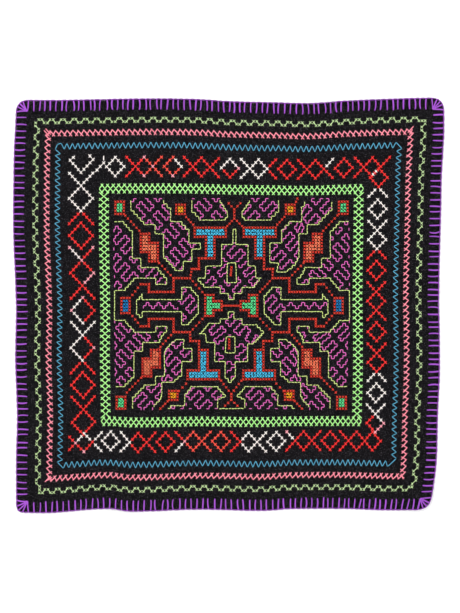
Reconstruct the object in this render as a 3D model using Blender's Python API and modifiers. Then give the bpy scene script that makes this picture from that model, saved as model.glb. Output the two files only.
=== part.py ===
"""An embroidered square of black cotton cloth, lying face up on a flat surface.

The cloth was cut as a plain square. The stitching along its four edges has drawn them
in and out a little, has rounded the corners, and lifts the edge here and there by a
millimetre. All lengths are in metres, +X runs to the right of the design, +Y up it.
"""
import math
from collections import namedtuple

import bpy

CLOTH_WIDTH = 0.362
CLOTH_HEIGHT = 0.349
CLOTH_THICKNESS = 0.002
MM = 0.001

# The mesh has this many cells each way. Cells near an edge are narrower than those in
# the middle: CROWDING is 0 for even cells and nears 1 for very thin ones at the edge.
CELLS_ACROSS = 48
CELLS_UP = 46
CROWDING = 0.8

# An edge's waves die out this far into the cloth.
WAVE_REACH = 0.144

# How far each edge stands outside the plain rectangle, in millimetres. Places along the
# top and bottom edges run from 0 at the left to 1 at the right, those along the left
# and right edges from 0 at the top to 1 at the bottom.
EdgeRow = namedtuple("EdgeRow", "along out")
TOP_EDGE = [
    EdgeRow(along=0.00, out=-0.9),
    EdgeRow(along=0.08, out=-1.2),
    EdgeRow(along=0.17, out=-0.6),
    EdgeRow(along=0.32, out=0.2),
    EdgeRow(along=0.43, out=-0.4),
    EdgeRow(along=0.50, out=-2.1),
    EdgeRow(along=0.60, out=-3.0),
    EdgeRow(along=0.69, out=-3.8),
    EdgeRow(along=0.78, out=-1.5),
    EdgeRow(along=0.92, out=0.4),
    EdgeRow(along=1.00, out=1.1),
]
RIGHT_EDGE = [
    EdgeRow(along=0.00, out=0.9),
    EdgeRow(along=0.09, out=0.9),
    EdgeRow(along=0.18, out=-0.9),
    EdgeRow(along=0.28, out=-1.7),
    EdgeRow(along=0.48, out=-3.4),
    EdgeRow(along=0.57, out=-2.8),
    EdgeRow(along=0.67, out=-2.8),
    EdgeRow(along=0.77, out=-4.3),
    EdgeRow(along=0.87, out=-5.1),
    EdgeRow(along=0.93, out=-7.2),
    EdgeRow(along=1.00, out=-11.2),
]
BOTTOM_EDGE = [
    EdgeRow(along=0.00, out=1.1),
    EdgeRow(along=0.08, out=1.3),
    EdgeRow(along=0.17, out=-1.3),
    EdgeRow(along=0.22, out=-2.0),
    EdgeRow(along=0.27, out=0.3),
    EdgeRow(along=0.43, out=-1.5),
    EdgeRow(along=0.58, out=-0.4),
    EdgeRow(along=0.64, out=-1.9),
    EdgeRow(along=0.78, out=-2.1),
    EdgeRow(along=0.90, out=-0.9),
    EdgeRow(along=1.00, out=-1.3),
]
LEFT_EDGE = [
    EdgeRow(along=0.00, out=-1.0),
    EdgeRow(along=0.05, out=-0.4),
    EdgeRow(along=0.12, out=0.9),
    EdgeRow(along=0.23, out=1.5),
    EdgeRow(along=0.33, out=1.5),
    EdgeRow(along=0.43, out=0.0),
    EdgeRow(along=0.52, out=-0.9),
    EdgeRow(along=0.63, out=-0.2),
    EdgeRow(along=0.77, out=-1.7),
    EdgeRow(along=0.87, out=-0.9),
    EdgeRow(along=1.00, out=-1.0),
]

# Each corner's rounding in millimetres. side is -1 or 1 in X and in Y.
Corner = namedtuple("Corner", "side_x side_y radius")
CORNERS = [
    Corner(side_x=-1, side_y=1, radius=9.0),
    Corner(side_x=1, side_y=1, radius=9.0),
    Corner(side_x=1, side_y=-1, radius=9.0),
    Corner(side_x=-1, side_y=-1, radius=4.0),
]

# Where the cloth stands off the surface. Places are parts of the half width and half
# height from the middle, reach and height are millimetres.
Lift = namedtuple("Lift", "place_x place_y reach height")
LIFTS = [
    Lift(place_x=-1.00, place_y=1.00, reach=34, height=1.1),
    Lift(place_x=0.38, place_y=1.00, reach=30, height=0.9),
    Lift(place_x=1.00, place_y=0.05, reach=28, height=0.7),
    Lift(place_x=1.00, place_y=-1.00, reach=38, height=1.4),
    Lift(place_x=-0.52, place_y=-1.00, reach=26, height=0.9),
    Lift(place_x=-1.00, place_y=-0.10, reach=26, height=0.6),
]

CLOTH_COLOUR = (0.009, 0.009, 0.009, 1.0)
CLOTH_ROUGHNESS = 0.9


def clear_scene():
    """Remove every object that the file holds."""
    for old in list(bpy.data.objects):
        bpy.data.objects.remove(old, do_unlink=True)


def ease(amount):
    """Go smoothly from 0 to 1, level at both ends."""
    amount = min(max(amount, 0.0), 1.0)
    return amount * amount * (3.0 - 2.0 * amount)


def edge_out(rows, along):
    """How far an edge stands out at a place along it, on a smooth line through its rows."""
    last = len(rows) - 1
    index = 0
    while index < last - 1 and along > rows[index + 1].along:
        index += 1
    start = rows[index]
    end = rows[index + 1]
    before = rows[max(index - 1, 0)]
    after = rows[min(index + 2, last)]
    span = end.along - start.along
    share = min(max((along - start.along) / span, 0.0), 1.0)
    slope_start = (end.out - before.out) / (end.along - before.along) * span
    slope_end = (after.out - start.out) / (after.along - start.along) * span
    square = share * share
    cube = square * share
    out = (2 * cube - 3 * square + 1) * start.out
    out += (cube - 2 * square + share) * slope_start
    out += (3 * square - 2 * cube) * end.out
    out += (cube - square) * slope_end
    return out * MM


def crowd(place):
    """Move an even station from -1 to 1 nearer to the closer edge."""
    return (1.0 - CROWDING) * place + CROWDING * math.sin(0.5 * math.pi * place)


def round_corner(x, y):
    """Pull a point of the plain rectangle in where a corner is round."""
    for corner in CORNERS:
        radius = corner.radius * MM
        past_x = x * corner.side_x - (0.5 * CLOTH_WIDTH - radius)
        past_y = y * corner.side_y - (0.5 * CLOTH_HEIGHT - radius)
        if past_x > 0.0 and past_y > 0.0:
            shrink = max(past_x, past_y) / math.hypot(past_x, past_y)
            x -= corner.side_x * past_x * (1.0 - shrink)
            y -= corner.side_y * past_y * (1.0 - shrink)
    return x, y


def lay_flat(x, y):
    """Where a point of the plain rectangle lies once its edges have been stitched."""
    right = x / CLOTH_WIDTH + 0.5
    down = 0.5 - y / CLOTH_HEIGHT
    from_left = ease(right * CLOTH_WIDTH / WAVE_REACH)
    from_right = ease((1.0 - right) * CLOTH_WIDTH / WAVE_REACH)
    from_top = ease(down * CLOTH_HEIGHT / WAVE_REACH)
    from_bottom = ease((1.0 - down) * CLOTH_HEIGHT / WAVE_REACH)
    x += (1.0 - from_right) * edge_out(RIGHT_EDGE, down)
    x -= (1.0 - from_left) * edge_out(LEFT_EDGE, down)
    y += (1.0 - from_top) * edge_out(TOP_EDGE, right)
    y -= (1.0 - from_bottom) * edge_out(BOTTOM_EDGE, right)
    return x, y


def lift_at(x, y):
    """How far the underside stands off the surface at a point of the plain rectangle."""
    height = 0.0
    for lift in LIFTS:
        away_x = x - lift.place_x * 0.5 * CLOTH_WIDTH
        away_y = y - lift.place_y * 0.5 * CLOTH_HEIGHT
        away = math.hypot(away_x, away_y) / (lift.reach * MM)
        height += lift.height * MM * ease(1.0 - away)
    return height


def cloth_material():
    """The black cotton's own finish."""
    material = bpy.data.materials.new("black_cotton")
    material.use_nodes = True
    shader = material.node_tree.nodes["Principled BSDF"]
    shader.inputs["Base Color"].default_value = CLOTH_COLOUR
    shader.inputs["Roughness"].default_value = CLOTH_ROUGHNESS
    shader.inputs["Metallic"].default_value = 0.0
    material.diffuse_color = CLOTH_COLOUR
    return material


def make_cloth(collection):
    """The cloth itself: a grid laid out by the functions above and given its thickness."""
    bpy.ops.mesh.primitive_grid_add(x_subdivisions=CELLS_ACROSS, y_subdivisions=CELLS_UP, size=2.0)
    cloth = bpy.context.active_object
    cloth.name = "cloth"
    cloth.data.name = "cloth"
    for vertex in cloth.data.vertices:
        x = crowd(vertex.co.x) * 0.5 * CLOTH_WIDTH
        y = crowd(vertex.co.y) * 0.5 * CLOTH_HEIGHT
        height = lift_at(x, y)
        x, y = lay_flat(*round_corner(x, y))
        vertex.co = (x, y, height)
    centre_on_origin(cloth)

    solidify = cloth.modifiers.new("thickness", "SOLIDIFY")
    solidify.thickness = CLOTH_THICKNESS
    solidify.offset = 1.0
    cloth.data.shade_smooth()
    cloth.data.materials.append(cloth_material())
    for owner in list(cloth.users_collection):
        owner.objects.unlink(cloth)
    collection.objects.link(cloth)
    return cloth


def centre_on_origin(cloth):
    """Move the sheet's points so that the middle of its outline is at the origin."""
    across = [vertex.co.x for vertex in cloth.data.vertices]
    upward = [vertex.co.y for vertex in cloth.data.vertices]
    middle_x = 0.5 * (min(across) + max(across))
    middle_y = 0.5 * (min(upward) + max(upward))
    for vertex in cloth.data.vertices:
        vertex.co.x -= middle_x
        vertex.co.y -= middle_y


def main():
    clear_scene()
    collection = bpy.data.collections.new("embroidered_cloth")
    bpy.context.scene.collection.children.link(collection)
    make_cloth(collection)


main()
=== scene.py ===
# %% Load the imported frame
import math
import random
import re
from collections import namedtuple

import bpy
import numpy as np
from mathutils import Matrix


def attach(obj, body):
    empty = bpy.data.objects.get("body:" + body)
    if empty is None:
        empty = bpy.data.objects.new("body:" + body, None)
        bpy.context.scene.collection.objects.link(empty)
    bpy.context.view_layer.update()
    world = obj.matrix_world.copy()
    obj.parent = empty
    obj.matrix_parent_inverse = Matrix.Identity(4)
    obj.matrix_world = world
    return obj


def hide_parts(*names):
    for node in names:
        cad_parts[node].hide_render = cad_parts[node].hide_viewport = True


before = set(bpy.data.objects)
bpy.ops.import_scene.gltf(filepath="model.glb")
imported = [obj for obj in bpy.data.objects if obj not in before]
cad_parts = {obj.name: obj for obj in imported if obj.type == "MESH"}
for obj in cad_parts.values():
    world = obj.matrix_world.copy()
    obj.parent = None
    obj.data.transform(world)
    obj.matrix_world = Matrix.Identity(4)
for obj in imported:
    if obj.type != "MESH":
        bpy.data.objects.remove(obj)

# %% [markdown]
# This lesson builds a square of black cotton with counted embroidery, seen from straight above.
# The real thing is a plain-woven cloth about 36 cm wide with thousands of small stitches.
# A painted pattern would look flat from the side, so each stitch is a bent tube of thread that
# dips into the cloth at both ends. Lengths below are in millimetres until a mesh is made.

MM = 0.001
TINY = 1e-9
SEED = 41
CHANCE = random.Random(SEED)
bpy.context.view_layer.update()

# %% [markdown]
# The cloth was cut as a plain rectangle. The stitching along its edges has drawn them in and
# out by a few millimetres, and the bands of stitches near an edge follow its waves. So both the
# cloth and the bands are first laid out on the plain rectangle, and one function then moves any
# point of it to where it really lies. These are the same numbers as in the CAD part.

# %% The shape of the cloth's edges
CLOTH_WIDTH = 362.0
CLOTH_HEIGHT = 349.0
HALF_WIDTH = 0.5 * CLOTH_WIDTH
HALF_HEIGHT = 0.5 * CLOTH_HEIGHT
WAVE_REACH = 144.0

# Places along the top and bottom edges run from 0 at the left to 1 at the right, those along the
# left and right edges from 0 at the top to 1 at the bottom. out is how far the edge stands
# outside the plain rectangle, in millimetres.
EdgeRow = namedtuple("EdgeRow", "along out")
TOP_EDGE = [
    EdgeRow(along=0.00, out=-0.9),
    EdgeRow(along=0.08, out=-1.2),
    EdgeRow(along=0.17, out=-0.6),
    EdgeRow(along=0.32, out=0.2),
    EdgeRow(along=0.43, out=-0.4),
    EdgeRow(along=0.50, out=-2.1),
    EdgeRow(along=0.60, out=-3.0),
    EdgeRow(along=0.69, out=-3.8),
    EdgeRow(along=0.78, out=-1.5),
    EdgeRow(along=0.92, out=0.4),
    EdgeRow(along=1.00, out=1.1),
]
RIGHT_EDGE = [
    EdgeRow(along=0.00, out=0.9),
    EdgeRow(along=0.09, out=0.9),
    EdgeRow(along=0.18, out=-0.9),
    EdgeRow(along=0.28, out=-1.7),
    EdgeRow(along=0.48, out=-3.4),
    EdgeRow(along=0.57, out=-2.8),
    EdgeRow(along=0.67, out=-2.8),
    EdgeRow(along=0.77, out=-4.3),
    EdgeRow(along=0.87, out=-5.1),
    EdgeRow(along=0.93, out=-7.2),
    EdgeRow(along=1.00, out=-11.2),
]
BOTTOM_EDGE = [
    EdgeRow(along=0.00, out=1.1),
    EdgeRow(along=0.08, out=1.3),
    EdgeRow(along=0.17, out=-1.3),
    EdgeRow(along=0.22, out=-2.0),
    EdgeRow(along=0.27, out=0.3),
    EdgeRow(along=0.43, out=-1.5),
    EdgeRow(along=0.58, out=-0.4),
    EdgeRow(along=0.64, out=-1.9),
    EdgeRow(along=0.78, out=-2.1),
    EdgeRow(along=0.90, out=-0.9),
    EdgeRow(along=1.00, out=-1.3),
]
LEFT_EDGE = [
    EdgeRow(along=0.00, out=-1.0),
    EdgeRow(along=0.05, out=-0.4),
    EdgeRow(along=0.12, out=0.9),
    EdgeRow(along=0.23, out=1.5),
    EdgeRow(along=0.33, out=1.5),
    EdgeRow(along=0.43, out=0.0),
    EdgeRow(along=0.52, out=-0.9),
    EdgeRow(along=0.63, out=-0.2),
    EdgeRow(along=0.77, out=-1.7),
    EdgeRow(along=0.87, out=-0.9),
    EdgeRow(along=1.00, out=-1.0),
]

Corner = namedtuple("Corner", "side_x side_y radius")
CORNERS = [
    Corner(side_x=-1, side_y=1, radius=9.0),
    Corner(side_x=1, side_y=1, radius=9.0),
    Corner(side_x=1, side_y=-1, radius=9.0),
    Corner(side_x=-1, side_y=-1, radius=4.0),
]

# Where the cloth stands off the surface, in parts of its half width and half height.
Lift = namedtuple("Lift", "place_x place_y reach height")
LIFTS = [
    Lift(place_x=-1.00, place_y=1.00, reach=34, height=1.1),
    Lift(place_x=0.38, place_y=1.00, reach=30, height=0.9),
    Lift(place_x=1.00, place_y=0.05, reach=28, height=0.7),
    Lift(place_x=1.00, place_y=-1.00, reach=38, height=1.4),
    Lift(place_x=-0.52, place_y=-1.00, reach=26, height=0.9),
    Lift(place_x=-1.00, place_y=-0.10, reach=26, height=0.6),
]
print("edge rows:", len(TOP_EDGE) + len(RIGHT_EDGE) + len(BOTTOM_EDGE) + len(LEFT_EDGE))

# %% [markdown]
# Thousands of thread points go through these functions. numpy works on whole arrays of points
# at once, which keeps the script quick, and each function also takes single numbers.


# %% From the plain rectangle to the real cloth
def ease(amount):
    """Go smoothly from 0 to 1, level at both ends."""
    amount = np.clip(amount, 0.0, 1.0)
    return amount * amount * (3.0 - 2.0 * amount)


def edge_out(rows, along):
    """How far an edge stands out at places along it, on a smooth line through its rows."""
    places = np.array([row.along for row in rows])
    outs = np.array([row.out for row in rows])
    last = len(rows) - 1
    along = np.clip(along, 0.0, 1.0)
    index = np.clip(np.searchsorted(places, along) - 1, 0, last - 1)
    before = np.maximum(index - 1, 0)
    after = np.minimum(index + 2, last)
    span = places[index + 1] - places[index]
    share = (along - places[index]) / span
    slope_start = (outs[index + 1] - outs[before]) / (places[index + 1] - places[before]) * span
    slope_end = (outs[after] - outs[index]) / (places[after] - places[index]) * span
    square = share * share
    cube = square * share
    out = (2 * cube - 3 * square + 1) * outs[index]
    out = out + (cube - 2 * square + share) * slope_start
    out = out + (3 * square - 2 * cube) * outs[index + 1]
    return out + (cube - square) * slope_end


def round_corner(x, y):
    """Pull points of the plain rectangle in where a corner is round."""
    for corner in CORNERS:
        past_x = np.maximum(x * corner.side_x - (HALF_WIDTH - corner.radius), 0.0)
        past_y = np.maximum(y * corner.side_y - (HALF_HEIGHT - corner.radius), 0.0)
        inside = (past_x > 0.0) & (past_y > 0.0)
        far = np.maximum(np.hypot(past_x, past_y), TINY)
        shrink = np.where(inside, np.maximum(past_x, past_y) / far, 1.0)
        x = x - corner.side_x * past_x * (1.0 - shrink)
        y = y - corner.side_y * past_y * (1.0 - shrink)
    return x, y


def lay_flat(x, y):
    """Where points of the plain rectangle lie once the edges have been stitched."""
    right = x / CLOTH_WIDTH + 0.5
    down = 0.5 - y / CLOTH_HEIGHT
    from_left = ease(right * CLOTH_WIDTH / WAVE_REACH)
    from_right = ease((1.0 - right) * CLOTH_WIDTH / WAVE_REACH)
    from_top = ease(down * CLOTH_HEIGHT / WAVE_REACH)
    from_bottom = ease((1.0 - down) * CLOTH_HEIGHT / WAVE_REACH)
    x = x + (1.0 - from_right) * edge_out(RIGHT_EDGE, down)
    x = x - (1.0 - from_left) * edge_out(LEFT_EDGE, down)
    y = y + (1.0 - from_top) * edge_out(TOP_EDGE, right)
    y = y - (1.0 - from_bottom) * edge_out(BOTTOM_EDGE, right)
    return x, y


def lift_at(x, y):
    """How far the underside stands off the surface at points of the plain rectangle."""
    height = 0.0
    for lift in LIFTS:
        away_x = x - lift.place_x * HALF_WIDTH
        away_y = y - lift.place_y * HALF_HEIGHT
        away = np.hypot(away_x, away_y) / lift.reach
        height = height + lift.height * ease(1.0 - away)
    return height


OUTLINE_POINTS = 200


def outline_middle():
    """The middle of the laid cloth's own box, from points along its four edges."""
    across = np.linspace(-HALF_WIDTH, HALF_WIDTH, OUTLINE_POINTS)
    upward = np.linspace(-HALF_HEIGHT, HALF_HEIGHT, OUTLINE_POINTS)
    right = np.full(OUTLINE_POINTS, HALF_WIDTH)
    top = np.full(OUTLINE_POINTS, HALF_HEIGHT)
    x = np.concatenate([across, across, -right, right])
    y = np.concatenate([top, -top, upward, upward])
    x, y = lay_flat(*round_corner(x, y))
    return 0.5 * (x.min() + x.max()), 0.5 * (y.min() + y.max())


MIDDLE_X, MIDDLE_Y = outline_middle()
print("the plain rectangle's shift, mm:", round(-MIDDLE_X, 2), round(-MIDDLE_Y, 2))

# %% [markdown]
# Colours come first as eight-bit screen values, because that is how one reads them off a
# photograph. Blender's sockets want linear light, so a helper turns one into the other. Both
# finishes below are made from nodes on a plain Principled shader, and most of their nodes only
# add up a few values, each with its weight. Small helpers keep that readable.


# %% Helpers for colours and nodes
def linear(red, green, blue):
    """An sRGB screen colour, 0 to 255, as linear light."""
    parts = []
    for level in (red, green, blue):
        share = level / 255.0
        if share <= 0.04045:
            parts.append(share / 12.92)
        else:
            parts.append(((share + 0.055) / 1.055) ** 2.4)
    return (*parts, 1.0)


def new_material(name):
    """A material with its node tree and its Principled shader."""
    material = bpy.data.materials.new(name)
    material.use_nodes = True
    return material, material.node_tree, material.node_tree.nodes["Principled BSDF"]


def add_node(tree, kind, **settings):
    """Add a node and set its properties."""
    node = tree.nodes.new(kind)
    for key, value in settings.items():
        setattr(node, key, value)
    return node


def maths(tree, operation, first, second=None):
    """A math node on sockets or plain numbers, and its result."""
    node = add_node(tree, "ShaderNodeMath", operation=operation)
    for socket, value in zip(node.inputs, (first, second)):
        if value is None:
            continue
        if isinstance(value, (int, float)):
            socket.default_value = value
        else:
            tree.links.new(value, socket)
    return node.outputs[0]


def weighted_sum(tree, base, *parts):
    """A base, which is a socket or a number, plus some sockets, each times its weight."""
    total = base
    for socket, weight in parts:
        total = maths(tree, "ADD", maths(tree, "MULTIPLY", socket, weight), total)
    return total


# A mix node has its sockets for numbers and vectors before those for colours.
MIX_SHARE = 0
MIX_FIRST = 6
MIX_SECOND = 7
MIX_RESULT = 2


def mix_colours(tree, share, first, second):
    """A colour mix of sockets or plain colours, and its result."""
    node = add_node(tree, "ShaderNodeMix", data_type="RGBA")
    for place, value in ((MIX_SHARE, share), (MIX_FIRST, first), (MIX_SECOND, second)):
        socket = node.inputs[place]
        if isinstance(value, (tuple, float)):
            socket.default_value = value
        else:
            tree.links.new(value, socket)
    return node.outputs[MIX_RESULT]


def grey_noise(tree, scale, detail=3.0, rough=0.6):
    """Noise over the object's own coordinates, in features per metre."""
    where = add_node(tree, "ShaderNodeTexCoord")
    noise = add_node(tree, "ShaderNodeTexNoise")
    noise.inputs["Scale"].default_value = scale
    noise.inputs["Detail"].default_value = detail
    noise.inputs["Roughness"].default_value = rough
    tree.links.new(where.outputs["Object"], noise.inputs["Vector"])
    return noise.outputs[0]


def link_finish(tree, shader, colour, rough, height, strength, depth):
    """Link a finish's colour, roughness and bump to its shader. depth is in millimetres."""
    bump = add_node(tree, "ShaderNodeBump")
    bump.inputs["Strength"].default_value = strength
    bump.inputs["Distance"].default_value = depth * MM
    tree.links.new(height, bump.inputs["Height"])
    tree.links.new(bump.outputs["Normal"], shader.inputs["Normal"])
    tree.links.new(colour, shader.inputs["Base Color"])
    tree.links.new(rough, shader.inputs["Roughness"])


print("a warm white in linear light:", [round(part, 3) for part in linear(250, 240, 235)])

# %% [markdown]
# A dyed thread never looks one flat colour. Its plies twist round each other with dark grooves
# between them, single fibres catch the light, and one stitch is paler than the next. A picture
# of thread would stretch on a bent tube. So a sine wave along and around the tube gives the
# plies and paints shade into their grooves, fine noise gives the fibres and paints their glints,
# and a number kept with each stitch gives its tone.

# %% The thread finish
PLIES = 2
TURNS_PER_WIDTH = 0.42
FIBRES_PER_METRE = 3200.0
LEAST_LIGHT = 0.23
PLY_LIGHT = 0.50
FIBRE_LIGHT = 0.35
TONE_LIGHT = 0.30


def thread_finish(name, colour, shade, fuzz):
    """Twisted yarn: colour on the plies, painted shade in the grooves and painted glints on fibres."""
    material, tree, shader = new_material(name)
    twist = add_node(tree, "ShaderNodeUVMap", uv_map="Twist")
    parts = add_node(tree, "ShaderNodeSeparateXYZ")
    tree.links.new(twist.outputs[0], parts.inputs[0])
    around = 2 * math.pi * PLIES
    along = TURNS_PER_WIDTH * around
    turns = weighted_sum(tree, 0.0, (parts.outputs[0], along), (parts.outputs[1], around))
    ply = weighted_sum(tree, 0.5, (maths(tree, "SINE", turns), 0.5))
    fibre = grey_noise(tree, FIBRES_PER_METRE)
    tone = add_node(tree, "ShaderNodeAttribute", attribute_name="tone").outputs["Fac"]
    # The ply sine paints shade into the grooves and light onto the plies, the fibre noise paints glints,
    # and the tone is the stitch's own.
    painted_light_and_tone = weighted_sum(tree, LEAST_LIGHT, (ply, PLY_LIGHT), (fibre, FIBRE_LIGHT), (tone, TONE_LIGHT))
    mixed = mix_colours(tree, maths(tree, "MINIMUM", painted_light_and_tone, 1.0), linear(*shade), linear(*colour))
    height = weighted_sum(tree, maths(tree, "POWER", ply, 0.6), (fibre, 0.5))
    rough = weighted_sum(tree, 0.55, (fibre, 0.25))
    link_finish(tree, shader, mixed, rough, height, strength=0.7, depth=0.12)
    shader.inputs["Specular IOR Level"].default_value = 0.25
    shader.inputs["Sheen Weight"].default_value = fuzz
    shader.inputs["Sheen Roughness"].default_value = 0.45
    shader.inputs["Sheen Tint"].default_value = linear(*colour)
    material.diffuse_color = linear(*colour)
    return material


print("turns of the thread per centimetre, 1 mm wide:", TURNS_PER_WIDTH * 10)

# %% [markdown]
# Each yarn is a row of one table, with its colour, the painted shade of its grooves and how
# much it fuzzes. The loop makes a finish from every row, so that a new yarn needs only a new row.

# %% The yarns
Yarn = namedtuple("Yarn", "colour shade fuzz", defaults=[0.35])
# The second colour of each row is painted shade for the grooves between the plies.
YARN_COLOURS = {
    "purple": Yarn(colour=(166, 84, 206), shade=(76, 30, 106)),
    "purple_edge": Yarn(colour=(132, 62, 158), shade=(66, 24, 84)),
    "pale_lime": Yarn(colour=(228, 255, 190), shade=(126, 168, 96)),
    "pink": Yarn(colour=(255, 154, 170), shade=(200, 72, 94)),
    "blue": Yarn(colour=(104, 194, 230), shade=(36, 98, 130)),
    "green": Yarn(colour=(192, 255, 160), shade=(80, 174, 70)),
    "red": Yarn(colour=(250, 50, 46), shade=(160, 16, 20)),
    "orange_red": Yarn(colour=(252, 86, 68), shade=(170, 38, 30)),
    "white": Yarn(colour=(255, 248, 243), shade=(176, 160, 154), fuzz=0.2),
    "pale_pink": Yarn(colour=(255, 174, 186), shade=(190, 96, 110)),
    "panel_red": Yarn(colour=(255, 70, 48), shade=(146, 20, 12)),
    "salmon": Yarn(colour=(255, 140, 100), shade=(252, 84, 58)),
    "sky_blue": Yarn(colour=(84, 218, 255), shade=(16, 106, 172)),
    "teal_blue": Yarn(colour=(20, 142, 214), shade=(4, 54, 98)),
    "fill_green": Yarn(colour=(108, 250, 166), shade=(36, 150, 86)),
    "orange": Yarn(colour=(255, 188, 26), shade=(220, 112, 8)),
    "lime": Yarn(colour=(236, 255, 158), shade=(130, 152, 68)),
    "magenta": Yarn(colour=(255, 124, 214), shade=(164, 48, 132)),
}
YARN = {name: thread_finish("yarn_" + name, *yarn) for name, yarn in YARN_COLOURS.items()}
print("yarns:", len(YARN))

# %% [markdown]
# Black cotton is really a very dark grey. A plain weave shows as tiny bumps, one for each
# place where a thread passes over another, and light glints on it as tiny pale specks. The
# weave is the product of two sine waves in the bump and in the colour, about three threads to the
# millimetre, and in the colour it is painted light and shade on the bumps. The specks are
# painted glints: noise with all but its peaks cut off.

# %% The black cotton finish
WEAVE_PITCH = 0.62 * MM
SPECKS_PER_METRE = 1500.0
SPECK_LEVEL = 0.59
SPECK_CONTRAST = 7.0
SLUBS_PER_METRE = 900.0
WANDERS_PER_METRE = 60.0
WANDER = 5.0


def painted_glints(tree):
    """How much painted glint covers the cloth, 0 to 1, from the peaks of a noise."""
    glint_noise = grey_noise(tree, SPECKS_PER_METRE, 1.0, 0.5)
    above = maths(tree, "MULTIPLY", maths(tree, "SUBTRACT", glint_noise, SPECK_LEVEL), SPECK_CONTRAST)
    return maths(tree, "MAXIMUM", maths(tree, "MINIMUM", above, 1.0), 0.0)


def cotton_finish():
    """Black plain weave with painted glints of light on it."""
    material, tree, shader = new_material("black_cotton_weave")
    where = add_node(tree, "ShaderNodeTexCoord")
    parts = add_node(tree, "ShaderNodeSeparateXYZ")
    tree.links.new(where.outputs["Object"], parts.inputs[0])
    wander = maths(tree, "MULTIPLY", grey_noise(tree, WANDERS_PER_METRE, 2.0), WANDER)
    turn = 2 * math.pi / WEAVE_PITCH
    across = maths(tree, "SINE", weighted_sum(tree, wander, (parts.outputs[0], turn)))
    upward = maths(tree, "SINE", weighted_sum(tree, wander, (parts.outputs[1], turn)))
    weave = maths(tree, "MULTIPLY", across, upward)
    slub = grey_noise(tree, SLUBS_PER_METRE)
    # The slubs are the cotton's own tone; the weave's share is painted light and shade on its bumps.
    slub_tone_and_weave_shade = weighted_sum(tree, slub, (weave, 0.25))
    base = mix_colours(tree, slub_tone_and_weave_shade, linear(0, 0, 1), linear(10, 10, 11))
    # The pale specks mixed in here are painted glints of light on the weave.
    glint_share = maths(tree, "MULTIPLY", painted_glints(tree), 0.6)
    mixed = mix_colours(tree, glint_share, base, linear(108, 102, 110))
    height = weighted_sum(tree, 0.0, (weave, 0.5), (slub, 0.6))
    rough = weighted_sum(tree, 0.78, (slub, 0.2))
    link_finish(tree, shader, mixed, rough, height, strength=0.6, depth=0.15)
    shader.inputs["Specular IOR Level"].default_value = 0.05
    material.diffuse_color = linear(24, 24, 24)
    return material


COTTON = cotton_finish()
print("finish made:", COTTON.name)

# %% [markdown]
# The cloth itself is one closed sheet, 0.8 mm thick, that lies 0.6 mm over the table so that the
# threads on its back have room. A grid is bent by the functions above and given a thickness. The
# rows near the edge are closer together, because the rim is where its shape changes most. Stitches
# pucker a cloth, so its surface also ripples by about a tenth of a millimetre.

# %% The cloth sheet
CELLS_ACROSS = 110
CELLS_UP = 106
CROWDING = 0.8
UNDERSIDE = 0.6
SHEET_THICKNESS = 0.8
SHEET_TOP = UNDERSIDE + SHEET_THICKNESS
RIPPLE = 0.10
MAP_HALF = 0.49


def crowd(place):
    """Move even stations from -1 to 1 nearer to the closer edge."""
    return (1.0 - CROWDING) * place + CROWDING * np.sin(0.5 * math.pi * place)


def ripple(x, y):
    """Small puckers in the cloth, in millimetres."""
    broad = np.sin(x / 5.3 + 1.7 * np.sin(y / 17.0)) * np.sin(y / 4.7 + 1.4 * np.sin(x / 13.0))
    fine = np.sin(x / 2.1 + y / 3.9) * np.sin(y / 2.3 - x / 5.1)
    return RIPPLE * (0.5 + 0.35 * broad + 0.15 * fine)


def on_cloth(x, y, laid=True):
    """The place, in millimetres, and the height of the cloth's underside at layout points."""
    height = lift_at(x, y) + ripple(x, y)
    if laid:
        x, y = lay_flat(x, y)
    return x - MIDDLE_X, y - MIDDLE_Y, height


def write_bake_map(mesh, places):
    """A flat map of the sheet that finishes can be baked on. places run from -1 to 1."""
    for layer in list(mesh.uv_layers):
        mesh.uv_layers.remove(layer)
    flat_map = mesh.uv_layers.new(name="OFBake")
    corners = np.empty(len(mesh.loops), dtype=np.int32)
    mesh.loops.foreach_get("vertex_index", corners)
    flat_map.data.foreach_set("uv", (places[corners] * MAP_HALF + 0.5).ravel())


def make_sheet():
    """A grid over the plain rectangle, laid out and thickened."""
    bpy.ops.mesh.primitive_grid_add(x_subdivisions=CELLS_ACROSS, y_subdivisions=CELLS_UP, size=2.0)
    sheet = bpy.context.active_object
    sheet.name = "cloth_sheet"
    mesh = sheet.data
    places = np.empty(3 * len(mesh.vertices))
    mesh.vertices.foreach_get("co", places)
    places = places.reshape(-1, 3)
    plain_x = crowd(places[:, 0]) * HALF_WIDTH
    plain_y = crowd(places[:, 1]) * HALF_HEIGHT
    x, y, height = on_cloth(*round_corner(plain_x, plain_y))
    bent = np.stack([x, y, height + UNDERSIDE], axis=1) * MM
    mesh.vertices.foreach_set("co", bent.ravel())
    write_bake_map(mesh, places[:, :2])
    thick = sheet.modifiers.new("thickness", "SOLIDIFY")
    thick.thickness = SHEET_THICKNESS * MM
    thick.offset = 1.0
    mesh.shade_smooth()
    mesh.materials.append(COTTON)
    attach(sheet, "root")
    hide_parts("cloth")
    return sheet


sheet = make_sheet()
print("sheet points:", len(sheet.data.vertices))

# %% [markdown]
# All stitches share one mesh builder. It takes the middle points of every thread, puts a ring of
# corners round each of them, and joins the rings to tubes. The rings stand upright on the line
# from a stitch's start to its end. The builder also writes a "Twist" map, which says how far
# along and around the thread a point is, and a "tone" for each stitch, so that the yarn
# finish can twist its plies and vary from stitch to stitch.

# %% Tubes of thread
SIDES = 6
TALL = 0.78


def unit(vectors):
    """The same directions, each of length 1."""
    return vectors / np.maximum(np.linalg.norm(vectors, axis=-1, keepdims=True), TINY)


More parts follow.
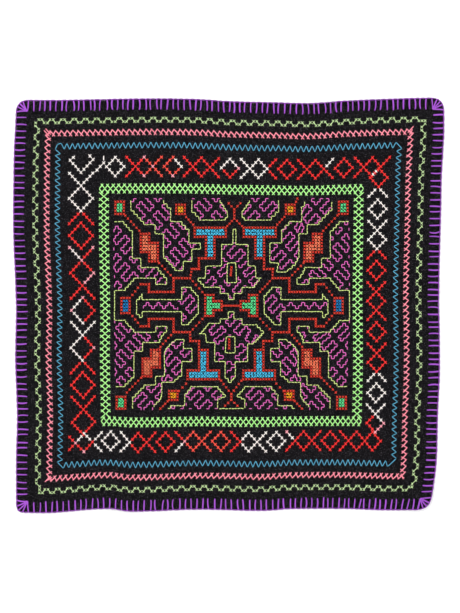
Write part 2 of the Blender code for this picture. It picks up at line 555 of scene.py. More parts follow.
def ring_frames(rings):
    """The sideways and upward directions at each ring, and the distance along each thread."""
    steps = np.diff(rings, axis=1)
    tangent = np.empty_like(rings)
    tangent[:, 1:-1] = rings[:, 2:] - rings[:, :-2]
    tangent[:, 0] = steps[:, 0]
    tangent[:, -1] = steps[:, -1]
    whole = rings[:, rings.shape[1] // 2] - rings[:, 0]
    side = unit(np.stack([whole[:, 1], -whole[:, 0], np.zeros(len(rings))], axis=1))
    side = np.repeat(side[:, None, :], rings.shape[1], axis=1)
    upward = np.cross(side, unit(tangent))
    lengths = np.linalg.norm(steps, axis=2)
    travelled = np.concatenate([np.zeros((len(rings), 1)), np.cumsum(lengths, axis=1)], axis=1)
    return side, upward, travelled


def write_thread_maps(mesh, travelled, width, sides):
    """The Twist map, in thread widths along and turns around, and a tone for each thread."""
    threads, per_thread = travelled.shape
    shape = (threads, per_thread - 1, sides)
    start = np.broadcast_to((travelled[:, :-1] / width)[:, :, None], shape)
    end = np.broadcast_to((travelled[:, 1:] / width)[:, :, None], shape)
    low = np.broadcast_to(np.arange(sides) / sides, shape)
    high = low + 1.0 / sides
    along = np.stack([start, end, end, start], axis=-1)
    around = np.stack([low, low, high, high], axis=-1)
    twist = mesh.uv_layers.new(name="Twist")
    twist.data.foreach_set("uv", np.stack([along, around], axis=-1).ravel())
    tones = np.random.default_rng(threads).random(threads)
    tone = mesh.attributes.new("tone", "FLOAT", "POINT")
    tone.data.foreach_set("value", np.repeat(tones, per_thread * sides))


def tube_mesh(name, rings, radii, sides=SIDES, tall=TALL):
    """Mesh of tubes. rings is threads by rings by 3 and radii is threads by rings, both in mm."""
    side, upward, travelled = ring_frames(rings)
    turn = np.arange(sides) * 2 * math.pi / sides
    around_side = np.cos(turn)[None, None, :, None] * side[:, :, None, :]
    around_up = np.sin(turn)[None, None, :, None] * upward[:, :, None, :] * tall
    points = rings[:, :, None, :] + radii[:, :, None, None] * (around_side + around_up)
    grid = np.arange(radii.size * sides).reshape(*radii.shape, sides)
    here = grid[:, :-1, :]
    ahead = grid[:, 1:, :]
    here_next = np.roll(here, -1, axis=2)
    ahead_next = np.roll(ahead, -1, axis=2)
    faces = np.stack([here, ahead, ahead_next, here_next], axis=-1).reshape(-1, 4)
    mesh = bpy.data.meshes.new(name)
    mesh.from_pydata(points.reshape(-1, 3) * MM, [], faces)
    write_thread_maps(mesh, travelled, 2.0 * radii.max(), sides)
    mesh.shade_smooth()
    return mesh


def add_piece(name, mesh, yarn):
    """Turn a thread mesh into a piece that rides with the cloth."""
    mesh.materials.append(YARN[yarn])
    piece = bpy.data.objects.new(name, mesh)
    bpy.context.scene.collection.objects.link(piece)
    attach(piece, "root")
    print(name, "triangles:", 2 * len(mesh.polygons))


print("sides of a thread's tube:", SIDES)

# %% [markdown]
# An ordinary stitch comes up through one hole, lies on the cloth, and goes down through the next.
# Six rings are enough for that: two end rings inside the cloth, two shoulders and a level middle.
# Where two stitches cross, the upper one gets a hump. On the back the thread runs on
# to where the next stitch starts. So every stitch is only put on its piece's list first, and the
# lists become meshes, face and back, once they are all full.

# %% Stitches
Stitch = namedtuple("Stitch", "x0 y0 x1 y1 over")
ALONG = np.array([0.0, 0.13, 0.36, 0.64, 0.87, 1.0])
RISE = np.array([-0.45, 0.10, 0.24, 0.24, 0.10, -0.45])
HUMP = np.array([0.0, 0.35, 1.0, 1.0, 0.35, 0.0])
SWELL = np.array([0.72, 0.95, 1.04, 1.04, 0.95, 0.72])
SEATING = 0.35
LOOSE = 0.10
stitches = {}


def sew(piece, start, end, over=0.0, loose=LOOSE):
    """Put one stitch on a piece's list, a hair off its exact place."""
    x0 = start[0] + CHANCE.gauss(0.0, loose)
    y0 = start[1] + CHANCE.gauss(0.0, loose)
    x1 = end[0] + CHANCE.gauss(0.0, loose)
    y1 = end[1] + CHANCE.gauss(0.0, loose)
    stitches.setdefault(piece, []).append(Stitch(x0, y0, x1, y1, over))


def between(first, second, share):
    """A point part of the way from one to another."""
    return first[0] + share * (second[0] - first[0]), first[1] + share * (second[1] - first[1])


def face_rings(rows, radius, laid):
    """Ring middles of the stitches that show on the face."""
    table = np.array(rows)
    start = table[:, None, 0:2]
    end = table[:, None, 2:4]
    plan = start + ALONG[None, :, None] * (end - start)
    x, y, height = on_cloth(plan[..., 0], plan[..., 1], laid)
    above = (RISE + radius * SEATING)[None, :] + table[:, 4, None] * HUMP[None, :]
    z = SHEET_TOP + height + above
    return np.stack([x, y, z], axis=-1)


print("rings per stitch:", len(ALONG))

# %% [markdown]
# The back of an embroidery shows short runs of thread, from where one stitch goes down to where
# the next comes up. The photograph doesn't show them, so they are guessed. A run that would be
# very short or very long is left out, as if the thread had been fastened off and started anew.

# %% The runs on the back
BACK_ALONG = np.array([0.0, 0.2, 0.8, 1.0])
BACK_RISE = np.array([0.3, -0.22, -0.22, 0.3])
SHORTEST_RUN = 0.8
LONGEST_RUN = 9.0
BACK_SIDES = 5
BACK_TALL = 0.5
BACK_THIN = 0.75


def back_rings(rows, laid):
    """Ring middles of the runs on the back, from one stitch's end to the next one's start."""
    table = np.array(rows)
    start = table[:-1, None, 2:4]
    end = table[1:, None, 0:2]
    length = np.linalg.norm(end - start, axis=2)[:, 0]
    keep = (length > SHORTEST_RUN) & (length < LONGEST_RUN)
    plan = (start + BACK_ALONG[None, :, None] * (end - start))[keep]
    x, y, height = on_cloth(plan[..., 0], plan[..., 1], laid)
    z = UNDERSIDE + height + BACK_RISE[None, :]
    return np.stack([x, y, z], axis=-1)


def make_thread(name, yarn, slot, radius, laid):
    """Mesh a list of stitches as one piece, and its runs on the back as another."""
    rows = stitches[name]
    face = tube_mesh(name, face_rings(rows, radius, laid), np.tile(radius * SWELL, (len(rows), 1)))
    add_piece(name, face, yarn)
    runs = back_rings(rows, laid)
    thin = np.full(runs.shape[:2], BACK_THIN * radius)
    back = tube_mesh(name + "_back", runs, thin, sides=BACK_SIDES, tall=BACK_TALL)
    add_piece(name + "_back", back, yarn)


print("rings per run:", len(BACK_ALONG))

# %% [markdown]
# The border bands all run round the cloth at set distances from its plain edges. Each side has
# its own straight axes: how far along the side, and how far in from its edge. With them,
# one band function serves all four sides. The distances were measured from the cloth's edge.

# %% Places along a side
SIDE_LENGTHS = {"top": CLOTH_WIDTH, "right": CLOTH_HEIGHT, "bottom": CLOTH_WIDTH, "left": CLOTH_HEIGHT}
Distances = namedtuple("Distances", "top right bottom left")
LIME_IN = Distances(top=17.2, right=16.7, bottom=17.6, left=17.8)
PINK_IN = Distances(top=27.5, right=27.5, bottom=28.0, left=27.4)
BLUE_IN = Distances(top=38.8, right=36.7, bottom=38.9, left=36.5)
CROSS_IN = Distances(top=56.8, right=53.6, bottom=57.8, left=56.2)
GREEN_IN = Distances(top=75.5, right=70.0, bottom=74.8, left=75.4)


def side_point(side, along, inward):
    """A point so far along a side from its left or top end, and so far in from its edge."""
    if side == "top":
        return along - HALF_WIDTH, HALF_HEIGHT - inward
    if side == "bottom":
        return along - HALF_WIDTH, inward - HALF_HEIGHT
    if side == "left":
        return inward - HALF_WIDTH, HALF_HEIGHT - along
    return HALF_WIDTH - inward, HALF_HEIGHT - along


def side_span(side, band):
    """Where a band starts and ends along a side, from the bands of the sides next to it."""
    if side in ("top", "bottom"):
        return band.left, CLOTH_WIDTH - band.right
    return band.top, CLOTH_HEIGHT - band.bottom


print("green band box, mm:", side_span("top", GREEN_IN), side_span("left", GREEN_IN))

# %% [markdown]
# Purple blanket stitch holds the raw edge. Each stitch is a leg, square to the edge, and on the
# rim the thread catches the leg before it, which makes a cord along the rim. Legs are tubes
# that go round the edge and end on the back, and the rim cord is one short bent tube from
# each leg to the next. At a corner five legs fan out from one hole. No two legs are alike: each
# leans, bows and swells a little by chance.

# %% Where the blanket stitch's legs are
LEG_LENGTH = 8.7
LENGTH_SPREAD = 0.25
PITCH_SPREAD = 0.07
CORNER_CLEAR = 14.4
LegRow = namedtuple("LegRow", "pitch tilt")
LEG_ROWS = {
    "top": LegRow(pitch=4.75, tilt=0.42),
    "right": LegRow(pitch=5.42, tilt=0.22),
    "bottom": LegRow(pitch=4.95, tilt=0.40),
    "left": LegRow(pitch=5.52, tilt=0.25),
}
FAN_HOLE = 9.0
FAN_FAR = 9.6
FAN_NEAR = 4.8
Leg = namedtuple("Leg", "hole rim")


def side_legs(side):
    """The legs along one side, clear of its corners."""
    row = LEG_ROWS[side]
    room = SIDE_LENGTHS[side] - 2 * CORNER_CLEAR
    count = round(room / row.pitch)
    legs = []
    for number in range(count + 1):
        along = CORNER_CLEAR + room * number / count
        along += CHANCE.gauss(0.0, PITCH_SPREAD * row.pitch)
        lean = CHANCE.gauss(0.0, row.tilt)
        hole = side_point(side, along + lean, LEG_LENGTH + CHANCE.gauss(0.0, LENGTH_SPREAD))
        legs.append(Leg(hole=hole, rim=side_point(side, along, 0.0)))
    return legs


def corner_legs(side_x, side_y, from_top):
    """The fan of legs at a corner. from_top is True where one gets there along the top or bottom."""
    hole = (side_x * (HALF_WIDTH - FAN_HOLE), side_y * (HALF_HEIGHT - FAN_HOLE))
    reach = [(FAN_FAR, 0.0), (FAN_NEAR, 0.0), (0.0, 0.0), (0.0, FAN_NEAR), (0.0, FAN_FAR)]
    if not from_top:
        reach.reverse()
    legs = []
    for back_x, back_y in reach:
        rim = (side_x * (HALF_WIDTH - back_x), side_y * (HALF_HEIGHT - back_y))
        legs.append(Leg(hole=hole, rim=rim))
    return legs


# Once round the cloth, clockwise from its upper left corner. Places along the bottom and left
# sides count the other way, so their rows of legs are turned round.
Turn = namedtuple("Turn", "side corner_x corner_y turned_round")
ROUND = [
    Turn(side="top", corner_x=1, corner_y=1, turned_round=False),
    Turn(side="right", corner_x=1, corner_y=-1, turned_round=False),
    Turn(side="bottom", corner_x=-1, corner_y=-1, turned_round=True),
    Turn(side="left", corner_x=-1, corner_y=1, turned_round=True),
]
legs = []
for turn in ROUND:
    row = side_legs(turn.side)
    legs += row[::-1] if turn.turned_round else row
    legs += corner_legs(turn.corner_x, turn.corner_y, turn.side in ("top", "bottom"))
print("legs:", len(legs))

# %% [markdown]
# A leg comes up at its hole, lies on the cloth, bends round the rim and runs back underneath to
# the same hole. Each row of the first table is one ring of it: its share of the way from hole
# to rim, how far past the rim it stands, its height and its radius. The rim cord has five rings
# from each leg to the next. Its bows rise at one end and dip at the other, so that they overlap.

# %% The rings of a leg and of the rim cord
HALF_WAY_UP = 0.5 * (SHEET_TOP + UNDERSIDE)
LegRing = namedtuple("LegRing", "share beyond height radius")
LEG_RINGS = [
    LegRing(share=0.00, beyond=0.00, height=SHEET_TOP - 0.40, radius=0.36),
    LegRing(share=0.07, beyond=0.00, height=SHEET_TOP + 0.30, radius=0.52),
    LegRing(share=0.30, beyond=0.00, height=SHEET_TOP + 0.42, radius=0.60),
    LegRing(share=0.65, beyond=0.00, height=SHEET_TOP + 0.42, radius=0.64),
    LegRing(share=0.93, beyond=0.20, height=SHEET_TOP + 0.25, radius=0.60),
    LegRing(share=1.00, beyond=0.65, height=HALF_WAY_UP, radius=0.52),
    LegRing(share=0.93, beyond=0.20, height=UNDERSIDE - 0.15, radius=0.46),
    LegRing(share=0.60, beyond=0.00, height=UNDERSIDE - 0.25, radius=0.40),
    LegRing(share=0.20, beyond=0.00, height=UNDERSIDE - 0.25, radius=0.40),
    LegRing(share=0.06, beyond=0.00, height=UNDERSIDE + 0.30, radius=0.34),
]
CordRing = namedtuple("CordRing", "share bow rise radius")
CORD_RINGS = [
    CordRing(share=-0.06, bow=0.10, rise=0.25, radius=0.36),
    CordRing(share=0.20, bow=0.45, rise=0.10, radius=0.50),
    CordRing(share=0.50, bow=0.55, rise=0.00, radius=0.54),
    CordRing(share=0.80, bow=0.45, rise=-0.10, radius=0.50),
    CordRing(share=1.06, bow=0.10, rise=-0.25, radius=0.36),
]
print("rings of a leg and of a bow of the cord:", len(LEG_RINGS), len(CORD_RINGS))

# %% [markdown]
# All legs are worked out at once, as arrays of legs by rings. Each leg bows to one side by a
# chance amount, along a sine from hole to rim. Each also has a chance thickness, which it shares
# with the bow of cord that leaves it, because both are the same thread.

# %% The legs and the rim cord
LEG_BOW = 0.3
LEG_SWELL = (0.8, 1.15)
LEG_TALL = 0.68
CORD_TALL = 0.95
CORD_RISE = 0.25


def leg_rings(legs):
    """Ring middles of the legs, from the hole over the rim to the hole's back."""
    share, beyond, height, _ = np.array(LEG_RINGS).T
    hole = np.array([leg.hole for leg in legs])
    rim = np.array([leg.rim for leg in legs])
    hole_x, hole_y, hole_up = on_cloth(hole[:, 0], hole[:, 1])
    rim_x, rim_y, rim_up = on_cloth(*round_corner(rim[:, 0], rim[:, 1]))
    length = np.hypot(rim_x - hole_x, rim_y - hole_y)
    part = share[None, :] + beyond[None, :] / length[:, None]
    bow = np.array([CHANCE.gauss(0.0, LEG_BOW) for leg in legs]) / length
    aside = bow[:, None] * np.sin(math.pi * share)[None, :]
    x = hole_x[:, None] + part * (rim_x - hole_x)[:, None] - aside * (rim_y - hole_y)[:, None]
    y = hole_y[:, None] + part * (rim_y - hole_y)[:, None] + aside * (rim_x - hole_x)[:, None]
    up = hole_up[:, None] + share[None, :] * (rim_up - hole_up)[:, None]
    return np.stack([x, y, up + height[None, :]], axis=-1)


def cord_rings(legs):
    """Ring middles of the rim cord, one short bow from each leg to the next."""
    share, bow, rise, _ = np.array(CORD_RINGS).T
    rim = np.array([leg.rim for leg in legs])
    x, y, up = on_cloth(*round_corner(rim[:, 0], rim[:, 1]))
    here = np.stack([x, y, up + HALF_WAY_UP + CORD_RISE], axis=1)
    way = np.roll(here, -1, axis=0) - here
    flat = unit(way[:, :2])
    outward = np.stack([-flat[:, 1], flat[:, 0], np.zeros(len(way))], axis=1)
    rings = here[:, None, :] + share[None, :, None] * way[:, None, :]
    rings = rings + bow[None, :, None] * outward[:, None, :]
    rings[:, :, 2] += rise[None, :]
    return rings


leg_swell = np.array([CHANCE.uniform(*LEG_SWELL) for leg in legs])
leg_paths = leg_rings(legs)
leg_radii = leg_swell[:, None] * np.array([ring.radius for ring in LEG_RINGS])[None, :]
leg_mesh = tube_mesh("blanket_legs", leg_paths, leg_radii, tall=LEG_TALL)
add_piece("blanket_legs", leg_mesh, "purple")
cord_paths = cord_rings(legs)
cord_radii = leg_swell[:, None] * np.array([ring.radius for ring in CORD_RINGS])[None, :]
cord_mesh = tube_mesh("rim_cord", cord_paths, cord_radii, tall=CORD_TALL)
add_piece("rim_cord", cord_mesh, "purple_edge")

# %% [markdown]
# The first band inside is a pale lime wave. Each turn of it is a pair of tiny crosses with a
# dark eye between them, and a slanting thread joins it to the next turn on the other side. The
# number of turns on a side is rounded to a whole number of waves, as an embroiderer counts them.

# %% The lime wave
WAVE_LENGTH = {"top": 9.6, "right": 11.0, "bottom": 9.6, "left": 11.0}
WAVE_HALF_HEIGHT = 1.4
EYE_HALF = 1.35
SMALL_CROSS = 1.1
OVER_CROSS = 0.30


def small_cross(side, along, inward):
    """A cross of two short stitches, the second over the first."""
    near = along - SMALL_CROSS
    far = along + SMALL_CROSS
    outer = inward - SMALL_CROSS
    inner = inward + SMALL_CROSS
    sew("lime_wave", side_point(side, near, inner), side_point(side, far, outer))
    sew("lime_wave", side_point(side, near, outer), side_point(side, far, inner), OVER_CROSS)


def lime_wave(side):
    """The wave along one side, out and in by turns."""
    centre = getattr(LIME_IN, side)
    start, end = side_span(side, LIME_IN)
    halves = 2 * round((end - start) / WAVE_LENGTH[side])
    step = (end - start) / halves
    outward = -1.0
    for number in range(halves):
        along = start + (number + 0.5) * step
        level = centre + outward * WAVE_HALF_HEIGHT
        small_cross(side, along - EYE_HALF, level)
        small_cross(side, along + EYE_HALF, level)
        if number < halves - 1:
            begin = side_point(side, along + EYE_HALF, level)
            finish = side_point(side, along + step - EYE_HALF, centre - outward * WAVE_HALF_HEIGHT)
            sew("lime_wave", begin, finish)
        outward = -outward


for side in SIDE_LENGTHS:
    lime_wave(side)
print("lime wave stitches:", len(stitches["lime_wave"]))

# %% [markdown]
# Next is pink herringbone: slanting stitches one way cross slanting stitches the other way, and
# the crossings sit near one edge of the band. One table gives both stitches, in parts of the
# pitch along the band and of its half height across it, and a loop sews them all round.

# %% The pink herringbone
HERRING_PITCH = {"top": 4.78, "right": 5.25, "bottom": 4.78, "left": 5.25}
HERRING_HALF = {"top": 2.7, "right": 2.5, "bottom": 2.6, "left": 2.5}
HERRING_SPREAD = 0.15
OVER_LONG = 0.35
HerringStitch = namedtuple("HerringStitch", "along_start in_start along_end in_end over")
HERRING_STITCHES = [
    HerringStitch(along_start=-0.22, in_start=1.0, along_end=0.30, in_end=-0.8, over=0.0),
    HerringStitch(along_start=-0.80, in_start=-1.0, along_end=0.27, in_end=1.0, over=OVER_LONG),
]


def herringbone(side):
    """Two crossing stitches per pitch along one side."""
    centre = getattr(PINK_IN, side)
    start, end = side_span(side, PINK_IN)
    count = round((end - start) / HERRING_PITCH[side])
    pitch = (end - start) / count
    half = HERRING_HALF[side]
    for number in range(count + 1):
        along = start + number * pitch + CHANCE.gauss(0.0, HERRING_SPREAD)
        for row in HERRING_STITCHES:
            begin = side_point(side, along + row.along_start * pitch, centre + row.in_start * half)
            finish = side_point(side, along + row.along_end * pitch, centre + row.in_end * half)
            sew("pink_herringbone", begin, finish, row.over)


for side in SIDE_LENGTHS:
    herringbone(side)
print("herringbone stitches:", len(stitches["pink_herringbone"]))

# %% [markdown]
# The thin blue line inside the herringbone is a plain zigzag of single stitches. Its teeth lean
# a little and no two are alike, so each turning point is moved by chance, and the next stitch
# starts from where it went. At each corner one or two long stitches lead it round to the next side.

# %% The blue zigzag
ZIGZAG_PITCH = {"top": 4.76, "right": 5.35, "bottom": 4.76, "left": 5.35}
ZIGZAG_HALF = {"top": 2.75, "right": 2.3, "bottom": 2.75, "left": 2.3}
ZIGZAG_LEAN = {"top": 0.5, "right": 0.38, "bottom": 0.5, "left": 0.68}
CORNER_ROOM = {"top": (2.5, 3.0), "right": (3.0, 4.5), "bottom": (3.0, 5.0), "left": (2.5, 3.0)}
LEAN_SPREAD = 0.04
TOOTH_SPREAD = 0.12
BLUE_LOOSE = 0.05
TURN_LEFT = 0.8
TURN_UP = 1.8


def zigzag(side):
    """A zigzag along one side, each tooth a little different from the last. Returns its ends."""
    centre = getattr(BLUE_IN, side)
    start, end = side_span(side, BLUE_IN)
    start += CORNER_ROOM[side][0]
    end -= CORNER_ROOM[side][1]
    count = round((end - start) / ZIGZAG_PITCH[side])
    pitch = (end - start) / count
    half = ZIGZAG_HALF[side]
    before = side_point(side, start, centre - half)
    first = before
    for number in range(count):
        along = start + number * pitch
        turn = along + (ZIGZAG_LEAN[side] + CHANCE.gauss(0.0, LEAN_SPREAD)) * pitch
        low = side_point(side, turn, centre + half + CHANCE.gauss(0.0, TOOTH_SPREAD))
        high = side_point(side, along + pitch, centre - half + CHANCE.gauss(0.0, TOOTH_SPREAD))
        sew("blue_zigzag", before, low, loose=BLUE_LOOSE)
        sew("blue_zigzag", low, high, loose=BLUE_LOOSE)
        before = high
    return first, before


blue_ends = {side: zigzag(side) for side in SIDE_LENGTHS}
upper_left = side_point("top", BLUE_IN.left - TURN_LEFT, BLUE_IN.top - TURN_UP)
CORNER_STITCHES = [
    (blue_ends["left"][0], upper_left),
    (upper_left, blue_ends["top"][0]),
    (blue_ends["top"][1], blue_ends["right"][0]),
    (blue_ends["right"][1], blue_ends["bottom"][1]),
    (blue_ends["bottom"][0], blue_ends["left"][1]),
]
for start, end in CORNER_STITCHES:
    sew("blue_zigzag", start, end, loose=BLUE_LOOSE)
print("zigzag stitches:", len(stitches["blue_zigzag"]))

# %% [markdown]
# The green band is a lattice. Long diagonals run both ways at an even pitch, and because each
# is longer than the pitch, they cross in three rows and leave short tails at both edges. Along
# the top and bottom the lattice goes right through the corners. At the sides it stops short of
# them, and only halves of its diagonals reach in.

# %% The green lattice
LATTICE_PITCH = {"top": 4.72, "right": 5.27, "bottom": 4.72, "left": 5.27}
LATTICE_HALF_HEIGHT = 4.25
LATTICE_HALF_SPAN = 3.45
ACROSS_BEYOND = 4.0
ACROSS_TAIL = 0.1
DOWN_SHORT = 6.5
DOWN_TAIL = 5.0


def lattice(side, start, end, tail):
    """Crossing diagonals along one side. tail is how far they may reach past its ends."""
    centre = getattr(GREEN_IN, side)
    count = round((end - start) / LATTICE_PITCH[side])
    pitch = (end - start) / count
    span = LATTICE_HALF_SPAN * pitch / LATTICE_PITCH["top"]
    for number in range(count + 1):
        along = start + number * pitch
        for lean, over in ((1.0, 0.0), (-1.0, OVER_LONG)):
            outer = side_point(side, along + lean * span, centre - LATTICE_HALF_HEIGHT)
            inner = side_point(side, along - lean * span, centre + LATTICE_HALF_HEIGHT)
            middle = between(outer, inner, 0.5)
            if start - tail < along + lean * span < end + tail:
                sew("green_lattice", outer, middle, over)
            if start - tail < along - lean * span < end + tail:
                sew("green_lattice", middle, inner, over)


across_start, across_end = side_span("top", GREEN_IN)
down_start, down_end = side_span("left", GREEN_IN)
for side in ("top", "bottom"):
    lattice(side, across_start - ACROSS_BEYOND, across_end + ACROSS_BEYOND, ACROSS_TAIL)
for side in ("left", "right"):
    lattice(side, down_start + DOWN_SHORT, down_end - DOWN_SHORT, DOWN_TAIL)
print("lattice stitches:", len(stitches["green_lattice"]))

# %% [markdown]
# The wide band is counted cross stitch: a diamond with a big X at each end, then a diamond on
# its own, and so on. Every line is a row of small crosses, one step apart, whose upper stitch
# lies along the line. The thread changes from red to white and back along the band, so each
# line of a motif has one letter: r red, o orange red, w white, p pink, and a dot for a line left
# out. Where a motif has two threads, some crosses at the ends of its lines are pink by chance.

# %% Helpers for the cross-stitch band
STEP_ALONG = {"top": 2.43, "bottom": 2.42, "left": 2.69, "right": 2.61}
STEP_INWARD = {"top": 2.62, "bottom": 2.62, "left": 2.44, "right": 2.50}
STEPS = {"top": 3, "bottom": 3, "left": 4, "right": 3}
LETTERS = {"r": "band_red", "o": "band_orange_red", "w": "band_white", "p": "band_pink"}
TICK = 0.85
SAME_PLACE = 0.9
PINK_SHARE = 0.4
used = []


def cross_line(start, end, letter, steps, changes=False):
    """A row of small crosses between two points, with one at both ends."""
    half_x = 0.5 * (end[0] - start[0]) / steps
    half_y = 0.5 * (end[1] - start[1]) / steps
    tick_x = TICK * half_x
    tick_y = TICK * half_y
    for number in range(steps + 1):
        x, y = between(start, end, number / steps)
        taken = any(math.dist((x, y), place) < SAME_PLACE for place in used)
        if letter == "." or taken:
            continue
        used.append((x, y))
        pink = changes and number in (0, steps) and CHANCE.random() < PINK_SHARE
        piece = LETTERS["p" if pink else letter]
        sew(piece, (x - tick_x, y + tick_y), (x + tick_x, y - tick_y))
        sew(piece, (x - half_x, y - half_y), (x + half_x, y + half_y), OVER_CROSS)


def diamond(side, along, inward, colours):
    """A diamond of four lines: first half outer and inner, then second half outer and inner."""
    steps = STEPS[side]
    reach = steps * STEP_ALONG[side]
    width = steps * STEP_INWARD[side]
    changes = len(set(colours) - {"."}) > 1
    near = side_point(side, along - reach, inward)
    far = side_point(side, along + reach, inward)
    outer = side_point(side, along, inward - width)
    inner = side_point(side, along, inward + width)
    lines = [(near, outer), (near, inner), (outer, far), (inner, far)]
    for (start, end), letter in zip(lines, colours):
        cross_line(start, end, letter, steps, changes)


def arms(side, along, inward, way, colours, steps=None):
    """Two arms from an X's middle, outer and inner. way is -1 back along the side or 1 on."""
    steps = steps or STEPS[side]
    middle = side_point(side, along, inward)
    for letter, outward in zip(colours, (-1.0, 1.0)):
        reach = way * steps * STEP_ALONG[side]
        tip = side_point(side, along + reach, inward + outward * steps * STEP_INWARD[side])
        cross_line(middle, tip, letter, steps, len(set(colours)) > 1)


def double(side, along, inward, colours):
    """A diamond between two X's: arms, diamond, arms."""
    reach = STEPS[side] * STEP_ALONG[side]
    arms(side, along - reach, inward, -1, colours[0:2])
    diamond(side, along, inward, colours[2:6])
    arms(side, along + reach, inward, 1, colours[6:8])


print("crosses along one diamond side:", STEPS["top"] + 1)

# %% [markdown]
# Each row holds where its first motif's middle is, how far it is from one motif to the next, and
# the motifs' letters. Four letters make a single diamond and eight make one with an X at each
# end. Motifs are counted from a side's left or top end, so the letters follow the eye.

# %% The motifs of each side
Row = namedtuple("Row", "first period motifs")
BAND = {
    "top": Row(84.8, 24.25, "wwww rrrroooo oowo rrrrrrrr wrwr wwwwwwrr rrrr rrrrrrwr rrrr rrrrrrr."),
    "bottom": Row(79.9, 23.55, "wwww wwrrrrrr rrrr wroooooo oooo rrwwwwww wwww rwrrrrrr rrrr rrrrrr.."),
    "right": Row(92.8, 26.1, "wwww wwwwwwrr rrrr rrrrrrrr rrrr rrrrrrww wwww wwwrpr.."),
    "left": Row(83.6, 31.8, "wwwwwwrr rrrr wrrrrprr wrwr wwwrwrrr rrrr rrrrrr.."),
}
for side, row in BAND.items():
    for number, colours in enumerate(row.motifs.split()):
        make = diamond if len(colours) == 4 else double
        make(side, row.first + number * row.period, getattr(CROSS_IN, side), colours)
print("motifs:", sum(len(row.motifs.split()) for row in BAND.values()))

# %% [markdown]
# At the corners the embroiderer filled what room was left: a white V and a bent arm at the
# upper left, and a diamond, some with arms, at each of the others. They are placed by their own
# distances, along a side from its left or top end and in from its edge.

# %% The corners of the cross-stitch band
diamond("top", 309.0, 66.0, ".rrr")
cross_line(side_point("top", 304.2, 63.2), side_point("top", 306.6, 60.6), "w", 1)
arms("right", 74.0, CROSS_IN.right, 1, "ww")
diamond("bottom", 57.0, 57.0, "rwrw")
arms("bottom", 49.5, 57.0, -1, "rr", steps=2)
arms("bottom", 64.5, 57.0, 1, "ww")
diamond("bottom", 306.0, 58.0, "rrrr")
Arm = namedtuple("Arm", "x0 in0 x1 in1 steps")
UPPER_LEFT_ARMS = [
    Arm(x0=47.0, in0=51.0, x1=56.0, in1=61.5, steps=4),
    Arm(x0=56.0, in0=61.5, x1=66.0, in1=50.5, steps=4),
    Arm(x0=49.5, in0=48.5, x1=47.0, in1=51.0, steps=1),
    Arm(x0=63.5, in0=47.5, x1=66.0, in1=50.5, steps=1),
    Arm(x0=69.5, in0=59.5, x1=75.0, in1=53.5, steps=2),
    Arm(x0=75.0, in0=53.5, x1=75.0, in1=49.5, steps=1),
]
for arm in UPPER_LEFT_ARMS:
    cross_line(side_point("top", arm.x0, arm.in0), side_point("top", arm.x1, arm.in1), "w", arm.steps)
band_pieces = [name for name in stitches if name.startswith("band_")]
print("band stitches:", {name: len(stitches[name]) for name in band_pieces})

# %% [markdown]
# The centre panel is a traditional maze pattern, counted on the cloth's threads. It is charted
# here in whole and half cells, from its upright and level middle lines, and most of it is
# charted for one quarter only and mirrored. The hand work drifted, so its quarters differ a little
# in width. A short table says how far from the middle a few cell counts lie, in millimetres,
# and every point between them is interpolated.

# %% The counted grid of the panel
PANEL_Y = -0.6
MIDDLE_UP_HIGH = 4.5
MIDDLE_UP_LOW = 1.9
CELL_UP = 2.60
CELL_DOWN = 2.50
BLEND_FROM = 9.0
BLEND_OVER = 3.0
PanelRow = namedtuple("PanelRow", "cell top_left top_right bottom waist_left waist_right")
PANEL_ROWS = [
    PanelRow(cell=0.0, top_left=0.0, top_right=0.0, bottom=0.0, waist_left=0.0, waist_right=0.0),
    PanelRow(cell=3.0, top_left=7.2, top_right=8.0, bottom=10.3, waist_left=7.0, waist_right=6.8),
    PanelRow(cell=18.0, top_left=43.3, top_right=45.1, bottom=46.9, waist_left=42.0, waist_right=42.2),
    PanelRow(cell=21.0, top_left=50.5, top_right=52.5, bottom=54.0, waist_left=49.0, waist_right=49.4),
    PanelRow(cell=27.0, top_left=65.0, top_right=59.6, bottom=60.7, waist_left=63.0, waist_right=65.0),
    PanelRow(cell=42.5, top_left=102.3, top_right=97.5, bottom=98.6, waist_left=99.1, waist_right=100.5),
]
COLUMNS = {name: [getattr(row, name) for row in PANEL_ROWS] for name in PanelRow._fields}


def level_x(across, middle, column):
    """Where a cell count across lies, by one column of the table."""
    away = float(np.interp(abs(across), COLUMNS["cell"], COLUMNS[column]))
    return middle + math.copysign(away, across)


def panel_point(across, upward):
    """A place on the cloth from cell counts. Left and down are negative."""
    hand = "left" if across < 0 else "right"
    high = float(np.clip((upward - BLEND_FROM) / BLEND_OVER, 0.0, 1.0))
    low = float(np.clip((-upward - BLEND_FROM) / BLEND_OVER, 0.0, 1.0))
    x = (1.0 - high - low) * level_x(across, MIDDLE_UP_LOW, "waist_" + hand)
    x += high * level_x(across, MIDDLE_UP_HIGH, "top_" + hand)
    x += low * level_x(across, MIDDLE_UP_LOW, "bottom")
    return x, PANEL_Y + upward * (CELL_DOWN if upward < 0 else CELL_UP)


HEADINGS = {"N": (0, 1), "S": (0, -1), "E": (1, 0), "W": (-1, 0)}


def chart(start, runs):
    """Corner points of a path from its runs, such as "W4 W2S3": cells each way, N being up."""
    points = [start]
    for run in runs.split():
        x, y = points[-1]
        for letter, count in re.findall(r"([NSEW])([\d.]+)", run):
            x += HEADINGS[letter][0] * float(count)
            y += HEADINGS[letter][1] * float(count)
        points.append((x, y))
    return points


QUARTERS = [(-1, 1), (1, 1), (-1, -1), (1, -1)]
print("panel's upper left corner, mm:", [round(part, 1) for part in panel_point(-42.5, 34.5)])

# %% [markdown]
# Red crosses draw the skeleton of the pattern: stepped lines, blocks with a coloured filling,
# and slanting rows of single crosses that join them. Along a level or upright line the crosses
# nearly touch, and on a slanting one they stand a cell apart both ways, as the counting gives.

